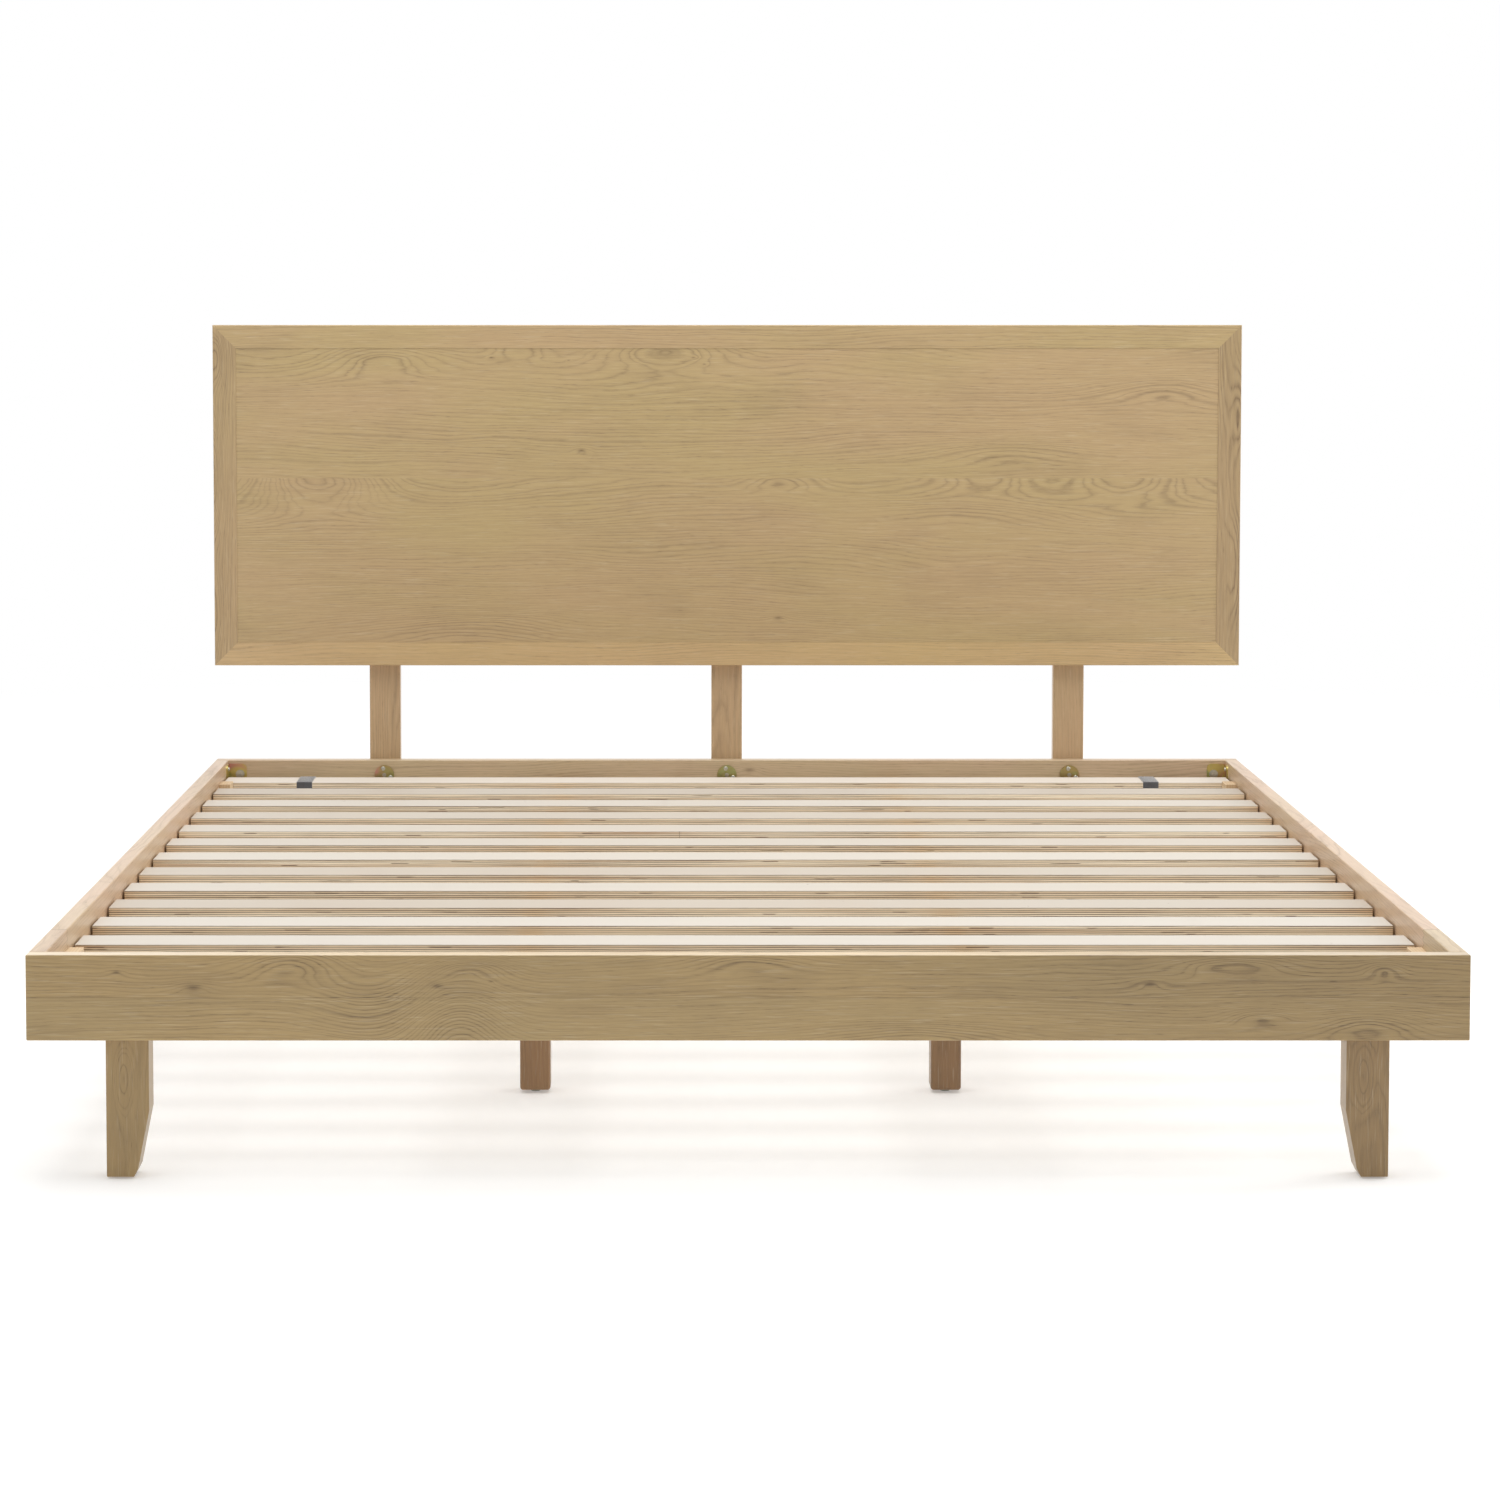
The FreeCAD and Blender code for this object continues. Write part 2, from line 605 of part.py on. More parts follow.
def make_centre_beams():
    """Two beams under the slats, held at both ends in steel hangers."""
    hangers = []
    screws = []
    outer = "(beam_width + 2 * hanger_gap + 2 * hanger_thick)"
    floor = BEAM_BOTTOM + " - hanger_thick"
    for side, sign in SIDES:
        centre = "%d * beam_spacing" % sign
        keep(board("Beam", centre + " - beam_width / 2", FOOT_INNER + " + hanger_thick", BEAM_BOTTOM,
                   "beam_width", INNER_LENGTH + " - 2 * hanger_thick", "beam_height", "slat_round"),
             "centre_beam_" + side)
        for _, end in ENDS:
            face = FOOT_INNER if end < 0 else HEAD_INNER + " - hanger_thick"
            reach = FOOT_INNER if end < 0 else HEAD_INNER + " - hanger_depth"
            left = "%s - %s / 2" % (centre, outer)
            back = box(left + " - hanger_flange", face, floor, outer + " + 2 * hanger_flange",
                       "hanger_thick", "hanger_height")
            shelf = box(left, reach, floor, outer, "hanger_depth", "hanger_thick")
            near = box(left, reach, floor, "hanger_thick", "hanger_depth", "hanger_height")
            far = box("%s + %s / 2 - hanger_thick" % (centre, outer), reach, floor,
                      "hanger_thick", "hanger_depth", "hanger_height")
            bearing = FOOT_INNER + " + hanger_thick" if end < 0 else HEAD_INNER + " - hanger_thick"
            holes = []
            for step in (-1, 1):
                screw_x = "%s + %d * (%s + hanger_flange) / 2" % (centre, step, outer)
                screw_z = "%s + hanger_height / 2" % floor
                holes.append(cylinder(screw_x, face + " - 1", screw_z, "+Y", "pan_radius + bolt_gap",
                                      "hanger_thick + 2"))
                screws.append(pan_screw(screw_x, bearing, screw_z, "-Y" if end < 0 else "+Y"))
            hangers.append(cut(fuse(back, shelf, near, far), *holes))
    keep(group(*hangers), "beam_hangers")
    return screws


# Legs.
def make_corner_legs():
    """Flat legs, straight on the outside and tapered on the inside, bolted behind the rails."""
    bolts = []
    glides = []
    for end_name, end in ENDS:
        inner = FOOT_INNER if end < 0 else HEAD_INNER
        for side_name, side in SIDES:
            body = new_body("CornerLeg")
            front = new_sketch(body, "XZ_Plane", "Profile")
            inward = ["%d * %s" % (-side, width)
                      for width in ("leg_width", "leg_foot_width", "leg_toe_width")]
            add_outline(front, [("0", "glide_height"), ("0", LEG_TOP), (inward[0], LEG_TOP),
                                (inward[0], "leg_taper_top"), (inward[1], "glide_height + leg_toe_height"),
                                (inward[2], "glide_height")])
            # The leg stands on the bed's side of its rail: towards +Y at the foot, -Y at the head.
            block = pad(body, front, "leg_depth", reverse=end < 0)
            soften(body, block, "leg_round")
            holes = new_sketch(body, "XZ_Plane", "BoltHoles")
            for step in range(2):
                add_circle(holes, "%d * leg_width / 2" % -side,
                           "%s + %d * leg_bolt_step" % (LEG_BOLT_LOW, step), "bolt_radius + bolt_gap")
            drill(body, holes)
            place(body, "%d * %s" % (side, LEG_OUTER), inner, "0")
            keep(body, "corner_leg_%s_%s" % (end_name, side_name))
            centre_x = "%d * (%s - leg_width / 2)" % (side, LEG_OUTER)
            for step in range(2):
                bolts.append(socket_bolt(centre_x, "%s + %d * leg_depth" % (inner, -end),
                                         "%s + %d * leg_bolt_step" % (LEG_BOLT_LOW, step),
                                         "-Y" if end < 0 else "+Y", "leg_bolt_length"))
            glides.append(make_glide("%d * (%s - glide_centre)" % (side, LEG_OUTER),
                                     "%s + %d * leg_depth / 2" % (inner, -end)))
    keep(group(*bolts), "leg_bolts")
    keep(group(*glides), "leg_glides")


def make_glide(x, y):
    """Domed nail-in glide under a corner leg."""
    body = new_body("Glide")
    disc = new_sketch(body, "XY_Plane", "Disc")
    add_circle(disc, "0", "0", "glide_radius")
    dome = pad(body, disc, "glide_height")
    soften(body, dome, "glide_height * 0.9", lambda edge: max(v.Z for v in edge.Vertexes) < 1e-6)
    pin = new_sketch(body, "XY_Plane", "Pin")
    add_circle(pin, "0", "0", "glide_pin_radius")
    pad(body, pin, "glide_height + glide_pin_length")
    return place(body, x, y, "0")


def make_centre_legs():
    """Square legs under the beams, each with a threaded insert and a foot that screws in and out."""
    inserts = []
    bolts = []
    half = "centre_leg_width / 2"
    for end_name, end in ENDS:
        y = "%d * (%s + centre_leg_inset)" % (-end, FOOT_FACE)
        for side_name, side in SIDES:
            x = "%d * beam_spacing" % side
            name = "%s_%s" % (end_name, side_name)
            leg = board("CentreLeg", "%s - %s" % (x, half), "%s - %s" % (y, half), CENTRE_LEG_FOOT,
                        "centre_leg_width", "centre_leg_width", "%s - %s" % (BEAM_BOTTOM, CENTRE_LEG_FOOT),
                        "centre_leg_round",
                        lambda edge: max(v.Z for v in edge.Vertexes) < 1e-6
                        or min(v.Z for v in edge.Vertexes) < 1e-6)
            bore = cylinder(x, y, "0", "+Z", "insert_radius", CENTRE_LEG_FOOT + " + stud_bore_depth")
            keep(cut(leg, bore), "centre_leg_" + name)
            sleeve = cylinder(x, y, CENTRE_LEG_FOOT, "+Z", "insert_radius", "insert_length")
            thread = cylinder(x, y, "0", "+Z",
                              "stud_radius + foot_gap", CENTRE_LEG_FOOT + " + insert_length + 1")
            inserts.append(cut(sleeve, thread))
            bolts.append(cylinder(x, y, "%s - centre_bolt_length / 2" % BEAM_BOTTOM, "+Z",
                                  "bolt_radius", "centre_bolt_length"))
            taper = cone(x, y, "0", "+Z", "foot_bottom_radius", "foot_top_radius", "foot_height")
            seat = cylinder(x, y, "foot_floor", "+Z", "stud_radius + foot_gap", "foot_height")
            keep(cut(taper, seat), "foot_pad_" + name)
            keep(cylinder(x, y, "foot_floor + foot_gap", "+Z", "stud_radius", "stud_length"),
                 "foot_stud_" + name)
    keep(group(*inserts), "foot_inserts")
    keep(group(*bolts), "centre_leg_bolts")


# Slat roll.
def make_slats():
    for number in range(SLAT_COUNT):
        slat = board("Slat", "-" + SLAT_HALF, slat_back(number) + " - slat_width", SLAT_BOTTOM,
                     "2 * " + SLAT_HALF, "slat_width", "slat_thick", "slat_round")
        keep(slat, "slat_%02d" % (number + 1))


def make_straps():
    """Two webbing straps under the slats, each looped round the first and the last slat."""
    straps = []
    staples = []
    rear = slat_back(0)
    front = slat_back(SLAT_COUNT - 1) + " - slat_width"
    for _, sign in SIDES:
        centre = "%d * (%s - strap_inset)" % (sign, SLAT_HALF)
        x = centre + " - strap_width / 2"
        runner = box(x, front, SLAT_BOTTOM + " - strap_thick", "strap_width", "%s - (%s)" % (rear, front),
                     "strap_thick")
        loops = []
        for number in (0, SLAT_COUNT - 1):
            outside = box(x, slat_back(number) + " - slat_width - strap_thick",
                          SLAT_BOTTOM + " - strap_thick", "strap_width",
                          "slat_width + 2 * strap_thick", "slat_thick + 2 * strap_thick")
            inside = box(x + " - 1", slat_back(number) + " - slat_width", SLAT_BOTTOM,
                         "strap_width + 2", "slat_width", "slat_thick")
            loops.append(cut(outside, inside))
        straps.append(fuse(runner, *loops))
        for number in range(SLAT_COUNT):
            staples.append(make_staple(centre, slat_back(number) + " - slat_width / 2"))
    keep(group(*straps), "slat_straps")
    keep(group(*staples), "strap_staples")


def make_staple(x, y):
    """Wire staple driven up through a strap into a slat."""
    left = "%s - staple_crown / 2" % x
    crown_z = SLAT_BOTTOM + " - strap_thick - staple_wire"
    crown = box(left, y, crown_z, "staple_crown", "staple_wire", "staple_wire")
    near = box(left, y, crown_z, "staple_wire", "staple_wire", "staple_leg")
    far = box("%s + staple_crown / 2 - staple_wire" % x, y, crown_z,
              "staple_wire", "staple_wire", "staple_leg")
    return fuse(crown, near, far)


def post_screws():
    """Countersunk screws through each post into the back of the headboard."""
    screws = []
    for _, sign in POSTS:
        for number in range(POST_SCREW_COUNT):
            level = "%s + %d * %s" % (POST_SCREW_FIRST, number, POST_SCREW_STEP)
            screws.append(wood_screw("%d * post_spacing" % sign, HEAD_BACK + " + post_thick", level, "-Y"))
    return screws


def plate_screws():
    """Three small screws round each nut plate."""
    return [pan_screw(x, HEAD_INNER + " - plate_thick", z, "+Y")
            for _, sign in POSTS for x, z in plate_screw_places(sign)]


make_foot_rail()
make_head_rail()
make_side_rails()
make_headboard_border()
make_headboard_planks()
make_posts()
make_post_hardware()
bracket_screws = make_corner_hardware()
ledger_screws = make_ledgers()
hanger_screws = make_centre_beams()
keep(group(*bracket_screws, *hanger_screws, *plate_screws()), "pan_screws")
keep(group(*ledger_screws, *post_screws()), "wood_screws")
make_corner_legs()
make_centre_legs()
make_slats()
make_straps()
doc.recompute()

for obj in doc.Objects:
    if "Invalid" in obj.State or "Error" in obj.State:
        raise RuntimeError("%s (%s) did not recompute: %s" % (obj.Name, obj.Label, obj.State))

os.makedirs("parts", exist_ok=True)
for node in nodes:
    if node.Shape.isNull() or not node.Shape.isValid() or not node.Shape.Solids:
        raise RuntimeError("%s has no valid solid" % node.Label)
    node.Shape.exportStep("parts/%s.step" % node.Label)
    print("%-28s %3d solid(s) %12.0f mm3" % (node.Label, len(node.Shape.Solids), node.Shape.Volume))
print(len(nodes), "nodes")
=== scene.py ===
# %% [markdown]
# # A low oak bed frame
# This lesson dresses a finished design. The frame of the bed, its joints and its screws already exist as
# solid parts at their real size, so nothing here moves or resizes them. What is left to make is what the
# eye judges: the grain of every board, the layers in the edge of a slat, the weave of the straps and the
# tarnish on the fittings, with a few small pieces modelled again in finer detail.
# All sizes are in metres. +Z is up, +Y runs from the foot of the bed to its headboard.

# %% Loading the frame
import math

import bmesh
import bpy
from mathutils import Matrix, Vector


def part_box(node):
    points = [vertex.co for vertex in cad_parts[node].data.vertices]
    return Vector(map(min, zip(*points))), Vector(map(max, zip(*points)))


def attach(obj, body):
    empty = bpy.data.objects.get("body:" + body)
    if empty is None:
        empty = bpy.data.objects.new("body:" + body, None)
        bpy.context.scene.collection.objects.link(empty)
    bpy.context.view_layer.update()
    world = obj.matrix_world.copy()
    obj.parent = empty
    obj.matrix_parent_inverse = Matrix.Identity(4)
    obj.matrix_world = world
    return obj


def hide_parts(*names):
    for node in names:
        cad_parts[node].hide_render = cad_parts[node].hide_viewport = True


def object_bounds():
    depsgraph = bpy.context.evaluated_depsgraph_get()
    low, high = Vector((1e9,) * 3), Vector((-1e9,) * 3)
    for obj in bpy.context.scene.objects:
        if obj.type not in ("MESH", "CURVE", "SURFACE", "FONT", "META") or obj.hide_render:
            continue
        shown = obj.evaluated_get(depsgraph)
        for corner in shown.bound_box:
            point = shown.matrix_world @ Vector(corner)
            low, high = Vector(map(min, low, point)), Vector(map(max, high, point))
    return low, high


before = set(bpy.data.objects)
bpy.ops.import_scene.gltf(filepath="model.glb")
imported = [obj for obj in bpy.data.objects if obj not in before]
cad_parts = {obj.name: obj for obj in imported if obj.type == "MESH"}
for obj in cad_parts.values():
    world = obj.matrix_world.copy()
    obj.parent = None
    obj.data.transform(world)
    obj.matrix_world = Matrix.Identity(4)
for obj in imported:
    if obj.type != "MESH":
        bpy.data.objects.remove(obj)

CAD_BOX = [list(corner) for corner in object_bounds()]
MM = 0.001
print("frame from", [round(v, 4) for v in CAD_BOX[0]], "to", [round(v, 4) for v in CAD_BOX[1]])

# %% [markdown]
# ## The camera
# The bed is seen from its foot by someone standing about five metres away. A long lens keeps the boards
# parallel. Tilting a camera down makes upright posts lean, so the tilt stays small and the lens is shifted
# instead, as on a view camera. The shift only moves the picture in its frame.

# %% Camera
EYE_ASIDE = -0.1005
EYE_HEIGHT = 1.238
EYE_DISTANCE = 4.949
TILT = math.radians(3.5)
FOCAL_LENGTH = 86.7  # this and the film's width are in millimetres, as cameras have them
FILM_WIDTH = 36
SHIFT_ASIDE = 0.0497
SHIFT_UP = -0.1594
FAR_LIMIT = 500

lens = bpy.data.cameras.new("camera")
lens.lens = FOCAL_LENGTH
lens.sensor_width = FILM_WIDTH
lens.shift_x = SHIFT_ASIDE
lens.shift_y = SHIFT_UP
lens.clip_end = FAR_LIMIT
camera = bpy.data.objects.new("camera", lens)
camera.location = (EYE_ASIDE, CAD_BOX[0][1] - EYE_DISTANCE, EYE_HEIGHT)
camera.rotation_euler = (math.pi / 2 - TILT, 0, 0)
bpy.context.scene.collection.objects.link(camera)
bpy.context.scene.camera = camera
print("camera at", [round(v, 3) for v in camera.location])

# %% [markdown]
# ## The studio
# Pale wood looks right in soft light from above. A sky that is white behind the bed and dimmer behind the
# viewer does most of the work: the tops of the boards mirror the white wall at a glancing angle, while the
# faces towards the viewer stay calmer. The dim half is a little brighter on the left, so that faces turned
# left and right differ. Two big area lamps add a gentle direction, one overhead and one to the right. A sun
# lamp would be simpler, but its shadows have edges that a soft studio hasn't.

# %% Sky and lamps
WALL_WHITE = 1.0
WALL_FROM = 0.25
ROOM_GREY = 0.50
ROOM_UP_TO = -0.35
LEFT_GAIN = 1.3


def paint_sky():
    """White ahead of the viewer, grey behind, with a soft change between the two."""
    sky = bpy.data.worlds.new("studio")
    sky.use_nodes = True
    nodes = sky.node_tree.nodes
    links = sky.node_tree.links
    direction = nodes.new("ShaderNodeTexCoord")
    parts = nodes.new("ShaderNodeSeparateXYZ")
    fade = nodes.new("ShaderNodeMapRange")
    fade.interpolation_type = "SMOOTHSTEP"
    fade.inputs["From Min"].default_value = ROOM_UP_TO
    fade.inputs["From Max"].default_value = WALL_FROM
    fade.inputs["To Max"].default_value = WALL_WHITE
    tilt = nodes.new("ShaderNodeMapRange")
    tilt.inputs["From Min"].default_value = -1
    tilt.inputs["To Min"].default_value = ROOM_GREY * LEFT_GAIN
    tilt.inputs["To Max"].default_value = ROOM_GREY * (2 - LEFT_GAIN)
    links.new(direction.outputs["Generated"], parts.inputs[0])
    links.new(parts.outputs["Y"], fade.inputs["Value"])
    links.new(parts.outputs["X"], tilt.inputs["Value"])
    links.new(tilt.outputs["Result"], fade.inputs["To Min"])
    links.new(fade.outputs["Result"], nodes["Background"].inputs["Strength"])
    nodes["Background"].inputs["Color"].default_value = (1, 1, 1, 1)
    bpy.context.scene.world = sky


def softbox(name, place, target, width, power):
    """Square area lamp that points at a target."""
    lamp = bpy.data.lights.new(name, "AREA")
    lamp.size = width
    lamp.energy = power
    holder = bpy.data.objects.new(name, lamp)
    holder.location = place
    holder.rotation_euler = (Vector(target) - Vector(place)).to_track_quat("-Z", "Y").to_euler()
    bpy.context.scene.collection.objects.link(holder)


paint_sky()
softbox("overhead", place=(0.0, -0.25, 3.6), target=(0.0, 0.0, 0.3), width=3.4, power=100)
softbox("right_side", place=(4.6, 1.0, 1.7), target=(-0.6, 0.4, 0.3), width=2.2, power=80)
bpy.context.scene.view_settings.view_transform = "Standard"
print("two lamps and a sky")

# %% [markdown]
# ## Mixing a finish
# Every finish below is a small network of nodes. Writing `nodes.new` and `links.new` for each one hides the
# idea, so this small class gives one short method to each kind of node. A method takes numbers or the
# outputs of earlier nodes and gives back its own output.

# %% A recipe for a finish


class Recipe:
    """A material while it is being mixed."""

    def __init__(self, name):
        self.material = bpy.data.materials.new(name)
        self.material.use_nodes = True
        self.tree = self.material.node_tree
        self.shader = self.tree.nodes["Principled BSDF"]

    def node(self, kind, **settings):
        made = self.tree.nodes.new("ShaderNode" + kind)
        for name, value in settings.items():
            setattr(made, name, value)
        return made

    def feed(self, socket, value):
        if isinstance(value, bpy.types.NodeSocket):
            self.tree.links.new(value, socket)
        elif value is not None:
            socket.default_value = value

    def place(self):
        """Position in the piece's own space, which moves with the piece."""
        return self.node("TexCoord").outputs["Object"]

    def split(self, vector):
        parts = self.node("SeparateXYZ")
        self.feed(parts.inputs[0], vector)
        return parts.outputs[0], parts.outputs[1], parts.outputs[2]

    def join(self, x, y, z):
        whole = self.node("CombineXYZ")
        for socket, value in zip(whole.inputs, (x, y, z)):
            self.feed(socket, value)
        return whole.outputs[0]

    def sum(self, operation, first, second=None, third=None):
        """One sum on numbers, such as ADD or SINE."""
        made = self.node("Math", operation=operation)
        for socket, value in zip(made.inputs, (first, second, third)):
            self.feed(socket, value)
        return made.outputs[0]

    def move(self, operation, first, second):
        """One sum on vectors."""
        made = self.node("VectorMath", operation=operation)
        self.feed(made.inputs[0], first)
        self.feed(made.inputs[1], second)
        return made.outputs["Value"] if operation in ("LENGTH", "DOT_PRODUCT") else made.outputs[0]

    def noise(self, vector, scale, detail=2.0, roughness=0.5, distortion=0.0):
        made = self.node("TexNoise")
        self.feed(made.inputs["Vector"], vector)
        self.feed(made.inputs["Scale"], scale)
        self.feed(made.inputs["Detail"], detail)
        self.feed(made.inputs["Roughness"], roughness)
        self.feed(made.inputs["Distortion"], distortion)
        return made.outputs["Fac"]

    def chance(self, vector):
        """A random number for each whole-number place."""
        made = self.node("TexWhiteNoise")
        self.feed(made.inputs["Vector"], vector)
        return made.outputs["Value"]

    def fade(self, value, start, end, first=0.0, last=1.0):
        """Soft step from first to last while value goes from start to end."""
        made = self.node("MapRange", interpolation_type="SMOOTHSTEP")
        for socket, number in zip(made.inputs, (value, start, end, first, last)):
            self.feed(socket, number)
        return made.outputs[0]

    def ramp(self, value, stops):
        """Straight lines through (position, level) pairs."""
        made = self.node("ValToRGB")
        steps = made.color_ramp.elements
        while len(steps) < len(stops):
            steps.new(0.5)
        for step, (position, level) in zip(steps, stops):
            step.position = position
            step.color = (level, level, level, 1)
        self.feed(made.inputs[0], value)
        return made.outputs[0]

    def blend(self, share, first, second):
        """Colour between two colours."""
        made = self.node("Mix", data_type="RGBA")
        self.feed(made.inputs[0], share)
        for socket, colour in zip(made.inputs[6:8], (first, second)):
            self.feed(socket, (*colour, 1) if isinstance(colour, tuple) else colour)
        return made.outputs[2]

    def bump(self, height, depth, strength=1.0):
        made = self.node("Bump")
        self.feed(made.inputs["Height"], height)
        self.feed(made.inputs["Distance"], depth)
        self.feed(made.inputs["Strength"], strength)
        self.feed(self.shader.inputs["Normal"], made.outputs[0])

    def finish(self, colour, roughness, gloss=0.5, metallic=0.0, sheen=0.0, lacquer=0.0):
        """Connect the shader and hand the material over."""
        sockets = self.shader.inputs
        self.feed(sockets["Base Color"], (*colour, 1) if isinstance(colour, tuple) else colour)
        self.feed(sockets["Roughness"], roughness)
        sockets["Specular IOR Level"].default_value = gloss
        sockets["Metallic"].default_value = metallic
        sockets["Sheen Weight"].default_value = sheen
        sockets["Coat Weight"].default_value = lacquer
        sockets["Coat Roughness"].default_value = 0.3
        return self.material


def dress(node, material):
    """Give a CAD part a finish."""
    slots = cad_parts[node].data.materials
    slots.clear()
    slots.append(material)


print("finishes can be mixed")

# %% [markdown]
# ## Floor
# A plain pale sheet. It is as wide as the eye can see, so that no edge of it shows. Lamps only reach the
# floor near the bed, and beyond them it would turn grey, so away from the bed the sheet glows more and
# more until it is as white as the wall. A faint glow is left under the bed too, where the slats keep most
# of the light out. A curved backdrop does the same in a real studio.

# %% Floor
FLOOR_HALF = 120
GLOW_START = 1.6
GLOW_END = 5.5
GLOW_UNDER_BED = 0.27
PAPER = ((0.80, 0.80, 0.795), (0.83, 0.83, 0.825))


def lay_floor():
    sheet = bpy.data.meshes.new("floor")
    corners = [(-FLOOR_HALF, -FLOOR_HALF, 0), (FLOOR_HALF, -FLOOR_HALF, 0),
               (FLOOR_HALF, FLOOR_HALF, 0), (-FLOOR_HALF, FLOOR_HALF, 0)]
    sheet.from_pydata(corners, [], [(0, 1, 2, 3)])
    paper = Recipe("pale_floor")
    place = paper.place()
    far = paper.fade(paper.move("LENGTH", place, (0, 0, 0)), GLOW_START, GLOW_END)
    near_tone = paper.blend(paper.noise(place, 3, detail=4), *PAPER)
    tone = paper.blend(far, near_tone, (0.0, 0.0, 0.0))
    paper.shader.inputs["Emission Color"].default_value = (1, 1, 1, 1)
    glow = paper.fade(far, 0.0, 1.0, GLOW_UNDER_BED, 1.0)
    paper.feed(paper.shader.inputs["Emission Strength"], glow)
    sheet.materials.append(paper.finish(tone, 0.9, gloss=0.0))
    floor = bpy.data.objects.new("floor", sheet)
    bpy.context.scene.collection.objects.link(floor)


lay_floor()
print("floor laid")

# %% [markdown]
# ## Oak
# A board is a thin slice of a trunk, and its pattern is where that slice cuts the yearly rings. Painting
# stripes on the face looks wrong at the ends and corners, so the trunk itself is modelled: each point's
# distance from the heart of the tree is divided by the width of a ring. The heart runs behind the board,
# which gives straight lines at its edges and long ovals in its middle. A slow noise lets the trunk sway,
# a faster one ripples the rings, and a smooth bulge stands for the swelling round a branch, which shows on
# the face as closed loops. On top of the rings come long fibres, the short dark pores of oak, pale flecks
# where lime stayed in the grain, and slow clouds of darker tone.
#
# Long boards are glued up from shorter ones. A splice is a zigzag joint across the board and a seam a
# straight one along it, and past either of them the finish looks up another place in the trunk. Two more
# things can be asked for: a top highlight, a painted highlight that makes faces looking up paler, and a
# dusk, a slow darkening towards one end, which the foot rail uses as painted shade.

# %% Oak, from the trunk outwards
AXES = {"x": (0, 2, 1), "y": (1, 2, 0), "z": (2, 0, 1)}
RING = 4.8 * MM
FINE_RING = 4.6 * MM
RING_SHAPE = [(0.0, 0.5), (0.15, 0.1), (0.45, 0.0), (0.75, 0.3), (0.9, 1.0), (1.0, 0.5)]
TOOTH = 6 * MM
SWAY = 0.085
RIPPLE = 0.011
GRAIN_DEPTH = 0.12 * MM
LIME = (0.78, 0.68, 0.50)


